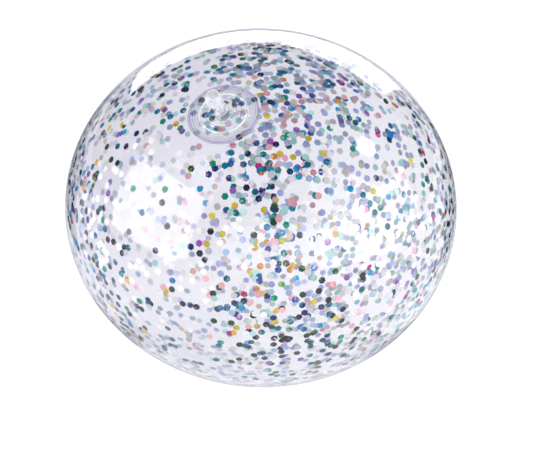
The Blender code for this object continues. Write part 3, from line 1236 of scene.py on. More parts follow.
    def build_strap(self, finish: FilmFinish) -> bpy.types.Object:
        """Make the bowed strap from the stem to the plug's head.

        Args:
            finish: the vinyl's finish.

        Returns:
            The object.
        """
        steps, count, power = self.strap_steps, self.strap_corners, self.strap_squareness
        half_wall, half_width = self.strap_wall / 2, self.strap_width / 2
        room = self.seat.gap * self.strap_gap
        root = np.array([self.stem_radius + room, self.strap_rise + half_wall])
        tip = np.array([self.head_radius + room, self.head_seat + self.strap_tip_rise])
        bow = np.array([self.strap_bow, 0.0])
        shares = np.linspace(0.0, 1.0, steps + 1)[:, None]
        rest = 1 - shares
        line = root * rest**3 + (root + bow) * 3 * rest**2 * shares
        line = line + (tip + bow) * 3 * rest * shares**2 + tip * shares**3
        along = unit(np.gradient(line, axis=0))
        across = np.stack([-along[:, 1], along[:, 0]], axis=1)
        corners = [(math.cos(a), math.sin(a)) for a in turn_angles(count)]
        rings = []
        for middle, side in zip(line, across):
            ring = []
            for x, y in corners:
                wall = half_wall * math.copysign(abs(x) ** power, x)
                width = half_width * math.copysign(abs(y) ** power, y)
                out, height = middle + side * wall
                on_axis = self.seat.place + out * self.seat.stem_right + height * self.seat.stem
                ring.append(on_axis + width * self.seat.up)
            rings.append(np.array(ring))
        faces: list[tuple[int, ...]] = []
        for i in range(steps):
            faces += ring_faces(i * count, (i + 1) * count, count)
        faces.append(tuple(range(count)))
        faces.append(tuple(steps * count + i for i in reversed(range(count))))
        strap = mesh_object("plug_strap_band", np.concatenate(rings), faces, finish.build())
        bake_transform(strap)
        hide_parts("plug_strap")
        return strap

    def flap_place(self, radius: float, height: float, angles: np.ndarray) -> np.ndarray:
        """A ring of the check flap, cut straight along its hinge.

        Args:
            radius: distance from the stem's axis.
            height: along the stem.
            angles: angles round the axis.

        Returns:
            Rows of points.
        """
        hinge = self.flap_radius * math.cos(self.flap_hinge_angle)
        across = np.minimum(radius * np.cos(angles), hinge - (self.flap_radius - radius))
        along = radius * np.sin(angles)
        ring = np.outer(across, self.seat.stem_right) + np.outer(along, self.seat.up)
        return self.seat.place + ring + height * self.seat.stem

    def build_flap(self, finish: FilmFinish) -> bpy.types.Object:
        """Make the check flap under the stem, with a rounded edge and a straight hinge side.

        Args:
            finish: the flap's finish.

        Returns:
            The object.
        """
        half = self.flap_wall / 2
        middle = -self.stem_below - self.seat.gap - half
        section = [(0.0, middle + half)]
        section += arc((self.flap_radius - half, middle), half, UPWARD, DOWNWARD)
        section += [(0.0, middle - half)]
        flap = turned_piece("check_flap_disc", section, self.flap_place, finish.build(), self.flap_segments)
        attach(flap, "flap")
        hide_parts("check_flap")
        return flap


@dataclass(frozen=True)
class FoilMake:
    """How a foil's other values follow from its colour.

    Args:
        palest: least part of a colour from which foil counts as the palest.
        bend: index of refraction of black foil.
        bend_rise: how much that grows up to white.
        palest_bend: how fast it grows besides in the palest foil.
        roughness: of all but the palest foil.
        palest_roughness: how fast that grows in the palest foil.
        slivers: how strongly slivers show on grey foil.
        vivid_slivers: how much more they show on vivid foil.
        pastel: part of white in the colour that faces into the ball.
        pastel_share: part of the foil's own hue in it.
    """

    palest: float = 0.72
    bend: float = 1.22
    bend_rise: float = 1.1
    palest_bend: float = 8.0
    roughness: float = 0.15
    palest_roughness: float = 2.0
    slivers: float = 0.30
    vivid_slivers: float = 0.75
    pastel: float = 0.52
    pastel_share: float = 0.34


FOIL = FoilMake()


class FoilFamily(Enum):
    """Families of flake colour, by the deep side of the foil."""

    CHARCOAL = (0.024, 0.028, 0.040)
    NAVY = (0.020, 0.045, 0.145)
    TEAL = (0.012, 0.195, 0.275)
    EMERALD = (0.012, 0.330, 0.205)
    FOREST = (0.022, 0.080, 0.048)
    AZURE = (0.040, 0.350, 0.620)
    COBALT = (0.050, 0.140, 0.420)
    PERIWINKLE = (0.400, 0.490, 0.780)
    VIOLET = (0.300, 0.150, 0.500)
    MAGENTA = (0.520, 0.045, 0.250)
    ROSE = (0.930, 0.500, 0.540)
    GOLD = (0.780, 0.610, 0.090)
    ORANGE = (0.780, 0.330, 0.110)
    SILVER = (0.740, 0.725, 0.735)
    CREAM = (0.970, 0.945, 0.895)
    MINT = (0.470, 0.790, 0.740)

    @property
    def outer(self) -> Colour:
        """Colour of the side pressed to the film."""
        return self.value

    @property
    def bend(self) -> float:
        """Index of refraction: pale foil mirrors more than deep foil, and the palest most."""
        least = min(self.value)
        return FOIL.bend + FOIL.bend_rise * least + FOIL.palest_bend * max(least - FOIL.palest, 0.0)

    @property
    def roughness(self) -> float:
        """How far the foil spreads a highlight: the palest most."""
        return FOIL.roughness + FOIL.palest_roughness * max(min(self.value) - FOIL.palest, 0.0)

    @property
    def sliver_share(self) -> float:
        """How strongly the painted glints of slivers show: most on vivid foil, least on dark or grey foil."""
        return FOIL.slivers + FOIL.vivid_slivers * (max(self.value) - min(self.value))

    @property
    def inner(self) -> Colour:
        """Colour of the side that faces into the ball, a pastel of the same hue."""
        top = max(self.value)
        return tuple(FOIL.pastel + FOIL.pastel_share * part / top for part in self.value)


class Palette(Enum):
    """Mixtures of families, as parts in a hundred or so."""

    MIXED = {
        "CHARCOAL": 6, "NAVY": 9, "TEAL": 12, "EMERALD": 7, "FOREST": 3, "AZURE": 9, "COBALT": 7,
        "PERIWINKLE": 15, "VIOLET": 5, "MAGENTA": 2, "ROSE": 4, "GOLD": 4, "ORANGE": 3, "SILVER": 9,
        "CREAM": 5, "MINT": 7,
    }
    DARK = {
        "CHARCOAL": 19, "NAVY": 18, "TEAL": 17, "FOREST": 8, "EMERALD": 6, "PERIWINKLE": 8, "SILVER": 8,
        "VIOLET": 2, "AZURE": 5, "MAGENTA": 2, "GOLD": 2, "ORANGE": 1, "MINT": 4, "CREAM": 5,
    }
    DEEP = {
        "CHARCOAL": 34, "NAVY": 22, "TEAL": 15, "FOREST": 11, "EMERALD": 6, "VIOLET": 4, "GOLD": 2,
        "MAGENTA": 2, "AZURE": 2, "SILVER": 2,
    }
    SPARKLING = {
        "CREAM": 58, "SILVER": 4, "CHARCOAL": 11, "NAVY": 13, "TEAL": 11, "FOREST": 4, "AZURE": 4,
        "ROSE": 4, "ORANGE": 2, "GOLD": 2, "MAGENTA": 1,
    }
    # Painted reflection: pale flakes only, set where the left softbox's reflection falls.
    GLINTS = {"CREAM": 76, "SILVER": 14, "MINT": 4, "ROSE": 4, "PERIWINKLE": 2}
    VIVID = {
        "TEAL": 11, "NAVY": 3, "VIOLET": 6, "MAGENTA": 4, "GOLD": 7, "EMERALD": 9,
        "AZURE": 11, "COBALT": 7, "PERIWINKLE": 17, "ROSE": 10, "SILVER": 7, "MINT": 14, "CREAM": 12,
    }
    WARM = {
        "ROSE": 19, "GOLD": 11, "ORANGE": 7, "CREAM": 18, "MINT": 9, "AZURE": 8, "TEAL": 8, "MAGENTA": 4,
        "SILVER": 9, "VIOLET": 4, "PERIWINKLE": 3,
    }
    PASTEL = {
        "PERIWINKLE": 14, "SILVER": 46, "MINT": 10, "ROSE": 7, "TEAL": 2, "VIOLET": 1, "CREAM": 20,
    }
    DUSK = {
        "TEAL": 16, "NAVY": 6, "CHARCOAL": 5, "FOREST": 2, "PERIWINKLE": 25, "SILVER": 9, "MINT": 13,
        "EMERALD": 6, "AZURE": 9, "VIOLET": 5, "COBALT": 5, "CREAM": 3, "GOLD": 2,
    }
    COOL = {
        "PERIWINKLE": 42, "SILVER": 11, "MINT": 12, "COBALT": 8, "AZURE": 9, "NAVY": 3, "TEAL": 5,
        "VIOLET": 5, "CREAM": 5, "ROSE": 2,
    }

    def weights(self) -> np.ndarray:
        """The share of each family, in the families' order."""
        parts = np.array([self.value.get(family.name, 0) for family in FoilFamily], float)
        return parts / parts.sum()


@dataclass(frozen=True)
class Drift:
    """A patch of the ball where the flakes lie thicker or thinner than elsewhere.

    Args:
        pixel: the patch's middle in the photograph.
        reach: radius of the patch.
        gain: added share of flakes at its middle, negative where they are thinner.
        side: the near or the far wall.
    """

    pixel: Pixel
    reach: float
    gain: float
    side: Side = Side.NEAR


@dataclass(frozen=True)
class Zone:
    """A patch of the ball with its own mixture of colours.

    Args:
        pixel: the patch's middle in the photograph.
        reach: radius of the patch.
        palette: the mixture there.
        strength: how far it drives the common mixture out.
    """

    pixel: Pixel
    reach: float
    palette: Palette
    strength: float


@dataclass(frozen=True)
class CaughtFlake:
    """A flake caught under the valve.

    Args:
        across: its place to the right of the valve's axis.
        along: its place towards the top of the ball.
        family: its colour.
    """

    across: float
    along: float
    family: FoilFamily


@dataclass
class Glitter:
    """The loose foil flakes that cling to the inside of the skin.

    Args:
        ball: the ball's shape.
        seat: where the valve sits.
        camera: the camera whose pixels place the drifts and zones.
        count: how many flakes are strewn.
        offers: how many places are drawn for each flake that is strewn.
        width: across the corners of a flake.
        wall: thickness of the foil.
        tilt: how far flakes tip out of the film's face, in radians.
        tilt_limit: how many times that a flake may tip at most.
        guide_lift: how far the line that a flake is spun from is lifted off its lean.
        layer: step between flakes that overlap.
        layers: how many flakes may lie on each other.
        seed: start of the random draws.
        valve_clear: radius round the valve's axis that flakes keep out of.
        caught_drop: depth under the diaphragm's folds that the caught flakes reach.
        caught_layers: fewest and most steps that a caught flake lies under the diaphragm.
        tucked_layers: steps that a tucked flake lies under the flange.
        least_density: the thinnest that the flakes lie.
        drifts: where they lie thicker or thinner.
        zones: where the colours differ; some set pale flakes where lamps are mirrored, as painted reflection.
        single: where they lie singly. Its gain is how far apart they keep, in flake widths.
        tucked: the flakes under the flange.
        caught: the flakes under the diaphragm.
    """

    ball: BallShape
    seat: ValveSeat
    camera: PhotoCamera
    count: int = 4100
    offers: int = 6
    width: float = 0.0042
    wall: float = 0.00006
    tilt: float = 0.065
    tilt_limit: float = 3.0
    guide_lift: float = 0.1
    layer: float = 0.00016
    layers: int = 6
    seed: int = 20
    valve_clear: float = 0.0226
    caught_drop: float = 0.0012
    caught_layers: tuple[int, int] = (1, 3)
    tucked_layers: int = 4
    least_density: float = 0.05
    drifts: tuple[Drift, ...] = (
        Drift((292.0, 60.0), 0.036, 0.75),
        Drift((330.0, 98.0), 0.028, 0.7),
        Drift((355.0, 152.0), 0.024, -0.6),
        Drift((180.0, 345.0), 0.022, -0.5),
        Drift((306.0, 138.0), 0.024, 1.1),
        Drift((280.0, 215.0), 0.024, 0.9),
        Drift((431.0, 222.0), 0.032, 0.8),
        Drift((392.0, 152.0), 0.020, -0.75),
        Drift((294.0, 334.0), 0.032, 0.8),
        Drift((233.0, 303.0), 0.016, 1.0),
        Drift((85.0, 245.0), 0.030, 0.75),
        Drift((240.0, 205.0), 0.022, 0.45),
        Drift((332.0, 294.0), 0.022, -0.5),
        Drift((150.0, 230.0), 0.050, -0.6, Side.FAR),
        Drift((110.0, 140.0), 0.040, -0.3, Side.FAR),
        Drift((395.0, 150.0), 0.040, -0.4, Side.FAR),
        Drift((380.0, 250.0), 0.034, 0.4, Side.FAR),
    )
    zones: tuple[Zone, ...] = (
        # Painted reflection, partly real flake colour: the GLINTS zone and the first three SPARKLING zones set
        # pale cream flakes where the left softbox's reflection falls, and the first two PASTEL zones set pale
        # flakes where the right card's reflection lies.
        Zone((152.0, 211.0), 0.021, Palette.GLINTS, 120.0),
        Zone((150.0, 190.0), 0.040, Palette.SPARKLING, 14.0),
        Zone((190.0, 275.0), 0.026, Palette.SPARKLING, 20.0),
        Zone((122.0, 270.0), 0.022, Palette.SPARKLING, 26.0),
        Zone((262.0, 250.0), 0.022, Palette.WARM, 22.0),
        Zone((225.0, 60.0), 0.050, Palette.DUSK, 14.0),
        Zone((78.0, 170.0), 0.028, Palette.DARK, 22.0),
        Zone((85.0, 275.0), 0.028, Palette.DARK, 24.0),
        Zone((280.0, 165.0), 0.034, Palette.VIVID, 24.0),
        Zone((366.0, 228.0), 0.042, Palette.PASTEL, 34.0),
        Zone((340.0, 280.0), 0.020, Palette.PASTEL, 26.0),
        Zone((240.0, 200.0), 0.020, Palette.SPARKLING, 22.0),
        Zone((365.0, 112.0), 0.036, Palette.COOL, 18.0),
        Zone((275.0, 300.0), 0.018, Palette.WARM, 14.0),
        Zone((283.0, 342.0), 0.021, Palette.DEEP, 30.0),
        Zone((322.0, 332.0), 0.014, Palette.DEEP, 50.0),
        Zone((250.0, 378.0), 0.030, Palette.PASTEL, 14.0),
        Zone((372.0, 345.0), 0.022, Palette.PASTEL, 10.0),
        Zone((450.0, 230.0), 0.024, Palette.DARK, 60.0),
        Zone((440.0, 145.0), 0.020, Palette.DARK, 30.0),
        Zone((443.0, 275.0), 0.020, Palette.DARK, 60.0),
    )
    single: Drift = Drift((145.0, 215.0), 0.046, 0.85)
    tucked: tuple[CaughtFlake, ...] = (
        CaughtFlake(-0.0134, 0.0120, FoilFamily.FOREST),
        CaughtFlake(-0.0050, 0.0168, FoilFamily.CHARCOAL),
        CaughtFlake(0.0168, 0.0100, FoilFamily.CHARCOAL),
        CaughtFlake(0.0094, -0.0160, FoilFamily.NAVY),
        CaughtFlake(-0.0150, -0.0112, FoilFamily.MINT),
        CaughtFlake(0.0120, -0.0140, FoilFamily.SILVER),
        CaughtFlake(-0.0176, 0.0030, FoilFamily.PERIWINKLE),
    )
    caught: tuple[CaughtFlake, ...] = (
        CaughtFlake(0.0016, 0.0076, FoilFamily.FOREST),
        CaughtFlake(0.0036, 0.0092, FoilFamily.SILVER),
        CaughtFlake(0.0050, 0.0074, FoilFamily.TEAL),
        CaughtFlake(0.0070, 0.0094, FoilFamily.AZURE),
        CaughtFlake(0.0056, 0.0046, FoilFamily.CHARCOAL),
        CaughtFlake(0.0096, 0.0064, FoilFamily.COBALT),
        CaughtFlake(-0.0106, 0.0002, FoilFamily.CHARCOAL),
        CaughtFlake(-0.0090, -0.0002, FoilFamily.AZURE),
        CaughtFlake(-0.0062, -0.0032, FoilFamily.FOREST),
        CaughtFlake(-0.0062, 0.0020, FoilFamily.NAVY),
        CaughtFlake(-0.0090, -0.0058, FoilFamily.MINT),
        CaughtFlake(-0.0034, -0.0100, FoilFamily.TEAL),
        CaughtFlake(0.0030, -0.0076, FoilFamily.SILVER),
        CaughtFlake(0.0088, -0.0054, FoilFamily.MINT),
        CaughtFlake(-0.0008, -0.0108, FoilFamily.ROSE),
        CaughtFlake(0.0104, -0.0004, FoilFamily.SILVER),
    )

    def density(self, points: np.ndarray) -> np.ndarray:
        """Relative thickness of the glitter at points of the skin.

        Args:
            points: rows of points.

        Returns:
            One value to a point, about 1 on plain stretches.
        """
        total = np.ones(len(points))
        for drift in self.drifts:
            middle = self.camera.on_ball(drift.pixel, drift.side)
            square = ((points - middle) ** 2).sum(axis=1)
            total += drift.gain * np.exp(-square / (2 * drift.reach**2))
        return np.maximum(total, self.least_density)

    def mixtures(self, points: np.ndarray) -> np.ndarray:
        """Share of each colour family at points of the skin.

        Args:
            points: rows of points.

        Returns:
            A row of shares to a point.
        """
        total = np.tile(Palette.MIXED.weights(), (len(points), 1))
        for zone in self.zones:
            square = ((points - self.camera.on_ball(zone.pixel)) ** 2).sum(axis=1)
            pull = zone.strength * np.exp(-square / (2 * zone.reach**2))
            total += np.outer(pull, zone.palette.weights())
        return total

    def strew(self) -> tuple[np.ndarray, np.ndarray]:
        """Draw the flakes' places on the skin and the layer that each lies in.

        Returns:
            Rows of points on the skin's outer face, and whole numbers.
        """
        rng = np.random.default_rng(self.seed)
        offered = unit(rng.normal(size=(self.count * self.offers, 3)))
        points = self.ball.centre + self.ball.axes * offered
        area = np.linalg.norm(offered / self.ball.axes, axis=1)
        chance = self.density(points) * area
        keep = rng.random(len(points)) < chance / chance.max()
        away = points - self.seat.place
        along = away @ self.seat.normal
        from_axis = np.linalg.norm(away - np.outer(along, self.seat.normal), axis=1)
        keep &= (from_axis > self.valve_clear) | (along < -self.ball.half_height)
        points = points[keep]
        single = ((points - self.camera.on_ball(self.single.pixel)) ** 2).sum(axis=1)
        single = self.single.gain * np.exp(-single / (2 * self.single.reach**2))
        chosen = np.empty((self.count, 3))
        taken: list[int] = []
        for point, apart in zip(points, single):
            away = np.linalg.norm(chosen[: len(taken)] - point, axis=1) / self.width
            used = {taken[j] for j in np.flatnonzero(away < 1)}
            free = [n for n in range(self.layers) if n not in used]
            if free and not (away < apart).any():
                chosen[len(taken)] = point
                taken.append(free[0])
            if len(taken) == self.count:
                break
        return chosen[: len(taken)], np.array(taken)

    def flake(self, rng: random.Random, point: np.ndarray, layer: int) -> np.ndarray:
        """One flake's twelve corners, the outer six first.

        Args:
            rng: source of its spin and tilt.
            point: its place on the skin's outer face.
            layer: how many flakes lie between it and the film.

        Returns:
            Rows of points.
        """
        normal = self.ball.normal(point)
        tilt_angle = min(abs(rng.gauss(0.0, self.tilt)), self.tilt_limit * self.tilt)
        side = unit(np.cross(normal, SKEW))
        spin = rng.uniform(0, 2 * math.pi)
        lean = math.cos(spin) * side + math.sin(spin) * np.cross(normal, side)
        face = unit(normal + math.tan(tilt_angle) * lean)
        depth = self.ball.wall + self.wall + layer * self.layer + self.width / 2 * math.sin(tilt_angle)
        middle = self.ball.on_floor((point - normal * depth)[None], depth)[0]
        guide = lean + self.guide_lift * normal
        return self.hexagon(middle, face, guide, rng.uniform(0, SIXTH_TURN))

    def hexagon(self, middle: np.ndarray, face: np.ndarray, guide: np.ndarray, turn: float) -> np.ndarray:
        """The twelve corners of a flake of foil.

        Args:
            middle: its middle.
            face: the way its outer side faces.
            guide: a direction across the face to start from.
            turn: how far it is spun from there.

        Returns:
            Rows of points, the outer six first.
        """
        x = unit(np.cross(face, guide))
        y = np.cross(face, x)
        angles = turn + turn_angles(FLAKE_CORNERS)
        ring = self.width / 2 * (np.outer(np.cos(angles), x) + np.outer(np.sin(angles), y))
        half = face * self.wall / 2
        return np.concatenate([middle + ring + half, middle + ring - half])

    def flake_faces(self, first: int) -> list[tuple[int, ...]]:
        """Faces of the flake whose corners start at number first."""
        count, below = FLAKE_CORNERS, first + FLAKE_CORNERS
        outer = tuple(first + i for i in range(count))
        inner = tuple(below + i for i in reversed(range(count)))
        pairs = [(i, (i + 1) % count) for i in range(count)]
        sides = [(first + i, below + i, below + j, first + j) for i, j in pairs]
        return [outer, inner, *sides]

    def map_flakes(self, mesh: bpy.types.Mesh, total: int) -> None:
        """Lay each flake out in its own square of a texture map.

        Args:
            mesh: the flakes' mesh.
            total: how many flakes it holds.
        """
        grid = math.ceil(math.sqrt(total))
        radius, left, right, level = 0.22, 0.25, 0.75, 0.62
        top, foot, margin = 0.26, 0.06, 0.1
        hexagon = [(radius * math.cos(a), radius * math.sin(a)) for a in turn_angles(FLAKE_CORNERS)]
        cell = [(left + x, level + y) for x, y in hexagon]
        cell += [(right + x, level + y) for x, y in reversed(hexagon)]
        for i in range(FLAKE_CORNERS):
            start, stop = (i + margin) / FLAKE_CORNERS, (i + 1 - margin) / FLAKE_CORNERS
            cell += [(start, top), (start, foot), (stop, foot), (stop, top)]
        squares = np.array([(n % grid, n // grid) for n in range(total)], float)
        places = (squares[:, None, :] + np.array(cell)[None]) / grid
        layer = mesh.uv_layers.new(name=BAKE_MAP)
        layer.uv.foreach_set("vector", places.astype(np.float32).ravel())

    def build(self, finishes: dict[FoilFamily, bpy.types.Material]) -> list[bpy.types.Object]:
        """Make one piece for each family of colour.

        Args:
            finishes: the foil of each family.

        Returns:
            The objects.
        """
        rng = random.Random(self.seed)
        points, layers = self.strew()
        families = list(FoilFamily)
        mixtures = self.mixtures(points)
        corners: dict[FoilFamily, list[np.ndarray]] = {family: [] for family in families}
        for point, layer, weights in zip(points, layers, mixtures):
            family = rng.choices(families, weights)[0]
            corners[family].append(self.flake(rng, point, int(layer)))
        made = []
        for family, flakes in corners.items():
            piece = self.flake_piece(f"glitter_{family.name.lower()}", flakes, finishes[family])
            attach(piece, "ball")
            made.append(piece)
        return made

    def flake_piece(
        self, name: str, flakes: list[np.ndarray], material: bpy.types.Material
    ) -> bpy.types.Object:
        """Make one piece of many flakes.

        Args:
            name: the piece's name.
            flakes: the corners of each flake.
            material: their foil.

        Returns:
            The object.
        """
        faces = [face for n in range(len(flakes)) for face in self.flake_faces(2 * FLAKE_CORNERS * n)]
        piece = mesh_object(name, np.concatenate(flakes), faces, material, smooth=False)
        self.map_flakes(piece.data, len(flakes))
        return piece

    def lay_by_family(
        self,
        name: str,
        flakes: tuple[CaughtFlake, ...],
        lay: Callable[[CaughtFlake], np.ndarray],
        finishes: dict[FoilFamily, bpy.types.Material],
    ) -> list[bpy.types.Object]:
        """Make one piece for each family among a few flakes.

        Args:
            name: start of the pieces' names.
            flakes: the flakes.
            lay: gives the corners of one of them.
            finishes: the foil of each family.

        Returns:
            The objects.
        """
        made = []
        for family in FoilFamily:
            corners = [lay(flake) for flake in flakes if flake.family is family]
            if corners:
                made.append(self.flake_piece(f"{name}_{family.name.lower()}", corners, finishes[family]))
        return made

    def build_caught(
        self, valve: Valve, finishes: dict[FoilFamily, bpy.types.Material]
    ) -> list[bpy.types.Object]:
        """Make the flakes that are caught under the valve's diaphragm.

        Args:
            valve: the valve that they lie under.
            finishes: the foil of each family.

        Returns:
            The objects, one for each family among them.
        """
        rng = random.Random(self.seed + 1)
        start, end = valve.blend_span(self.caught_drop)

        def lay(flake: CaughtFlake) -> np.ndarray:
            """Corners of a flake under the diaphragm."""
            drop = self.layer * rng.randint(*self.caught_layers)
            middle, face = valve.under_diaphragm(flake.across, flake.along, drop)
            return self.hexagon(middle, face, self.seat.right, rng.uniform(0, SIXTH_TURN))

        made = self.lay_by_family("glitter_caught", self.caught, lay, finishes)
        for piece in made:
            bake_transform(piece)
            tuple(start)
            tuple(end)
        return made

    def build_tucked(
        self, valve: Valve, finishes: dict[FoilFamily, bpy.types.Material]
    ) -> list[bpy.types.Object]:
        """Make the flakes that lie under the valve's flange.

        Args:
            valve: the valve that they lie under.
            finishes: the foil of each family.

        Returns:
            The objects, one for each family among them.
        """
        rng = random.Random(self.seed + 2)
        depth = self.ball.wall + self.seat.gap + valve.flange_wall + self.tucked_layers * self.layer

        def lay(flake: CaughtFlake) -> np.ndarray:
            """Corners of a flake under the flange."""
            angle = np.array([math.atan2(flake.along, flake.across)])
            middle = self.seat.under_skin(math.hypot(flake.across, flake.along), depth, angle)[0]
            face = self.ball.normal(middle)
            return self.hexagon(middle, face, self.seat.right, rng.uniform(0, SIXTH_TURN))

        made = self.lay_by_family("glitter_tucked", self.tucked, lay, finishes)
        for piece in made:
            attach(piece, "ball")
        return made

    def dress_packed(self, finishes: dict[FoilFamily, bpy.types.Material]) -> None:
        """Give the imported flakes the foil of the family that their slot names.

        Args:
            finishes: the foil of each family.
        """
        slots = {row["node"]: row["material_slot"] for row in frame["record"]["subparts"]}
        for name, node in frame["nodes"].items():
            if not name.startswith("glitter_flake"):
                continue
            family = FoilFamily[slots[name].removesuffix("_foil").upper()]
            node.data.materials.clear()
            node.data.materials.append(finishes[family])


@dataclass(frozen=True)
class Lamp:
    """A soft lamp, placed round the ball and turned to it.

    Args:
        name: the lamp's name.
        azimuth: round from the front, towards +X, in degrees.
        elevation: up from the ball's middle, in degrees.
        distance: from the ball's middle.
        width: of its face.
        height: of its face.
        radiance: brightness of its face, where 1 is white.
        round: whether its face is an ellipse.
        glint: whether it only shows in gloss and lights nothing else.
        matt: whether it only lights and doesn't show in gloss.
    """

    name: str
    azimuth: float
    elevation: float
    distance: float
    width: float
    height: float
    radiance: float
    round: bool = False
    glint: bool = False
    matt: bool = False

    def build(self, ball: BallShape) -> bpy.types.Object:
        """Make the lamp.

        Args:
            ball: what it is turned to.

        Returns:
            The lamp object.
        """
        data = bpy.data.lights.new(self.name, "AREA")
        data.shape = "ELLIPSE" if self.round else "RECTANGLE"
        data.size = self.width
        data.size_y = self.height
        area = self.width * self.height * (math.pi / 4 if self.round else 1.0)
        data.energy = self.radiance * math.pi * area
        lamp = bpy.data.objects.new(self.name, data)
        bpy.context.scene.collection.objects.link(lamp)
        around, above = math.radians(self.azimuth), math.radians(self.elevation)
        away = Vector(
            (math.sin(around) * math.cos(above), -math.cos(around) * math.cos(above), math.sin(above))
        )
        lamp.location = Vector(ball.centre) + away * self.distance
        lamp.rotation_mode = "QUATERNION"
        lamp.rotation_quaternion = away.to_track_quat("Z", "Y")
        lamp.visible_camera = False
        lamp.visible_diffuse = not self.glint
        lamp.visible_glossy = not self.matt
        return lamp


def gloss_card(name: str, corners: np.ndarray, material: bpy.types.Material) -> bpy.types.Object:
    """Make a flat card of the set that only shows in gloss.

    Args:
        name: the card's name.
        corners: rows of points round its edge.
        material: its paint or glow.

    Returns:
        The card object.
    """
    card = mesh_object(name, corners, [tuple(range(len(corners)))], material, smooth=False)
    card.visible_camera = False
    card.visible_diffuse = False
    card.visible_shadow = False
    return card


@dataclass(frozen=True)
class BackCard:
    """A bright card behind the ball. It only shows in the gloss along the ball's top.

    Args:
        distance: from the ball's middle to the card, along +Y.
        radiance: brightness of the card, where 1 is white.
        outer_faces: how many clear faces a reflection may cross, so that only the near film shows the card.
        outline: its corners, as x and height over the floor.
    """

    distance: float = 0.90
    radiance: float = 5.0
    outer_faces: float = 2.5
    outline: tuple[tuple[float, float], ...] = (
        (-0.36, 0.15), (0.36, 0.11), (0.50, 0.33), (0.63, 0.54), (0.58, 0.63), (0.44, 0.64), (0.31, 0.65),
        (0.23, 0.62), (0.15, 0.58), (0.04, 0.54), (-0.06, 0.52), (-0.17, 0.54), (-0.27, 0.52), (-0.39, 0.50),
        (-0.56, 0.46), (-0.70, 0.41),
    )

    def build(self) -> bpy.types.Object:
        """Make the card.

        Returns:
            The card object.
        """
        graph = Graph("back card")
        crossed = graph.add("LightPath").outputs["Transparent Depth"]
        shown = graph.maths("LESS_THAN", crossed, self.outer_faces)
        glow = graph.add("Emission", {"Strength": graph.maths("MULTIPLY", shown, self.radiance)})
        points = np.array([(x, self.distance, z) for x, z in self.outline])
        return gloss_card("back_card", points, graph.finish(glow.outputs[0]))


@dataclass(frozen=True)
class DarkCard:
    """A dark card beside the ball. It only shows in the gloss, where it draws the ball's edge. Laid grey on the
    floor by the foot, it is painted shadow.

    Args:
        name: the card's name.
        corners: its four corners.
        grey: how light its paint is.
    """

    name: str
    corners: tuple[tuple[float, float, float], ...]
    grey: float

    def build(self) -> bpy.types.Object:
        """Make the card.

        Returns:
            The card object.
        """
        graph = Graph(f"{self.name} paint")
        paint = graph.add("BsdfDiffuse", {"Color": opaque((self.grey, self.grey, self.grey))}).outputs[0]
        return gloss_card(self.name, np.array(self.corners), graph.finish(paint))


def flag(name: str, x: float) -> DarkCard:
    """A black card that stands beside the ball.

    Args:
        name: the card's name.
        x: how far beside the ball's middle it stands.

    Returns:
        The card.
    """
    near, far, height, black = 0.05, 0.45, 0.12, 0.01
    corners = ((x, near, 0.0), (x, far, 0.0), (x, far, height), (x, near, height))
    return DarkCard(name, corners, black)


def painted_shadow_strip(name: str, inner: float, outer: float) -> DarkCard:
    """A grey card that lies beside the ball's foot: painted shadow, seen only in the gloss, for the floor's shade
    round the foot.

    Args:
        name: the card's name.
        inner: x of its edge nearest to the foot.
        outer: x of its other edge.

    Returns:
        The card.
    """
    near, far, light_grey = -0.06, 0.12, 0.70
    corners = ((inner, near, 0.0), (outer, near, 0.0), (outer, far, 0.0), (inner, far, 0.0))
    return DarkCard(name, corners, light_grey)


@dataclass
class Studio:
    """White floor, cards, soft lamps and an even grey room.

    Args:
        ball: what the lamps are turned to.
        floor_size: width of the floor.
        floor_drop: how far the floor lies under the ball's foot.
        room: brightness of the room round the set.
        room_colour: colour of the room.
        clear_faces: how many clear faces light may cross.
        dark_cards: cards that draw the ball's edge in the gloss: black flags, and grey floor strips of painted
            shadow.
        lamps: soft lamps round the ball.
    """

    ball: BallShape
    floor_size: float = 12.0
    floor_drop: float = 0.0004
    room: float = 0.22
    room_colour: Colour = (0.96, 0.96, 1.0)
    clear_faces: int = 32
    dark_cards: tuple[DarkCard, ...] = (
        flag("left_flag", -0.20),
        flag("right_flag", 0.20),
        # Painted shadow: grey strips by the foot, seen only in the gloss, for the floor's shade round the ball.
        painted_shadow_strip("left_shadow_strip", -0.075, -0.115),
        painted_shadow_strip("right_shadow_strip", 0.075, 0.115),
    )
    lamps: tuple[Lamp, ...] = (
        Lamp("left_softbox", -59.0, 15.0, 0.40, 0.37, 0.29, 4.8, glint=True),
        Lamp("left_fill", -59.0, 15.0, 0.38, 0.37, 0.29, 2.9, matt=True),
        Lamp("right_card", 66.0, 6.0, 0.80, 1.05, 0.62, 3.2, glint=True),
        Lamp("right_fill", 66.0, 6.0, 0.78, 1.05, 0.62, 2.6, matt=True),
        Lamp("right_spot", 94.0, 43.0, 0.80, 0.13, 0.13, 45.0, round=True, glint=True),
        Lamp("front_fill", 12.0, 8.0, 1.30, 1.60, 0.70, 2.4),
        Lamp("back_fill", 172.0, 48.0, 1.00, 1.10, 0.80, 1.9, matt=True),
    )

    def build(self) -> None:
        """Make the floor, the cards, the lamps and the room."""
        half = self.floor_size / 2
        corners = np.array([(-half, -half, 0), (half, -half, 0), (half, half, 0), (-half, half, 0)], float)
        corners[:, 2] = -self.floor_drop
        floor = mesh_object("floor", corners, [(0, 1, 2, 3)], FloorFinish().build(), smooth=False)
        BackCard().build()
        for card in self.dark_cards:
            card.build()
        for lamp in self.lamps:
            lamp.build(self.ball)
        world = bpy.data.worlds.new("soft room")
        world.use_nodes = True
        background = world.node_tree.nodes["Background"]
        background.inputs["Color"].default_value = opaque(self.room_colour)
        background.inputs["Strength"].default_value = self.room
        scene = bpy.context.scene
        scene.world = world
        scene.view_settings.view_transform = "Standard"
        scene.cycles.transparent_max_bounces = self.clear_faces


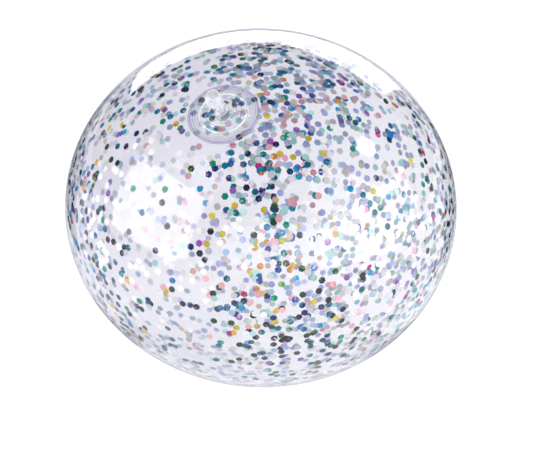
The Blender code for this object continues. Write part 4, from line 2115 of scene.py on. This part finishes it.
def moulded(
    name: str,
    through: Colour,
    milk: tuple[float, float],
    milk_power: float,
    streak_centre: tuple[float, float, float] | None = None,
    gloss: tuple[float, float] = (0.05, 0.40),
) -> FilmFinish:
    """A finish for the valve's moulded vinyl.

    Args:
        name: the material's name.
        through: tint of what shows through.
        milk: white scatter square on and at the rim.
        milk_power: how late the scatter rises towards the rim.
        streak_centre: middle of the rings of strain, or None for none.
        gloss: share mirrored square on and at the rim.

    Returns:
        The finish.
    """
    return FilmFinish(
        name, through, rim=(0.88, 0.88, 0.91), face_gloss=gloss[0], rim_gloss=gloss[1], gloss_power=3.0,
        tint_power=3.0, milk=milk, milk_power=milk_power, haze=0.06, ripple=0.00003, ripple_scale=260.0,
        streak_centre=streak_centre,
    )


def report(piece: bpy.types.Object) -> None:
    """Log a piece and its face count."""
    LOG.info("%s: %d faces", piece.name, len(piece.data.polygons))


def main() -> None:
    """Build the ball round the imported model, in order."""
    logging.basicConfig(level=logging.INFO, format="%(name)s %(message)s")
    ball = BallShape()
    seat = ValveSeat(ball)
    camera = PhotoCamera(ball)
    camera.build()
    Studio(ball).build()
    # Painted light and shade: the film's tint is lighter towards the right and the bottom of the ball, and darker
    # towards the left and the top.
    report(Skin(ball, seat).build(FilmFinish("clear film", thinning=(4.4, 0.0, -5.6))))
    valve = Valve(ball, seat)
    axis_point = tuple(float(value) for value in seat.place)
    finish = moulded(
        "flange vinyl", FLANGE_VINYL, milk=(0.05, 0.90), milk_power=2.6, streak_centre=axis_point
    )
    report(valve.build_flange(finish))
    finish = moulded(
        "diaphragm vinyl", FOLDED_VINYL, milk=(0.04, 0.85), milk_power=3.2, streak_centre=axis_point,
        gloss=(0.02, 0.15),
    )
    report(valve.build_diaphragm(finish))
    finish = moulded("stem vinyl", CLEAR_VINYL, milk=(0.15, 1.00), milk_power=2.2, gloss=(0.05, 0.15))
    report(valve.build_stem(finish))
    finish = moulded("plug vinyl", CLEAR_VINYL, milk=(0.26, 1.00), milk_power=1.8, gloss=(0.06, 0.12))
    report(valve.build_plug(finish))
    finish = moulded("strap vinyl", CLEAR_VINYL, milk=(0.22, 1.00), milk_power=2.4, gloss=(0.05, 0.15))
    report(valve.build_strap(finish))
    finish = moulded("flap vinyl", SMOKED_VINYL, milk=(0.02, 0.90), milk_power=5.0)
    report(valve.build_flap(finish))
    centre = tuple(float(value) for value in ball.centre)
    finishes = {
        family: FoilFinish(
            f"{family.name.lower()} foil", family.outer, family.inner, centre, bend=family.bend,
            roughness=family.roughness, sliver_share=family.sliver_share,
        ).build()
        for family in FoilFamily
    }
    glitter = Glitter(ball, seat, camera)
    pieces = glitter.build(finishes)
    pieces += glitter.build_caught(valve, finishes)
    pieces += glitter.build_tucked(valve, finishes)
    for piece in pieces:
        report(piece)
    glitter.dress_packed(finishes)


if __name__ == "__main__":
    main()
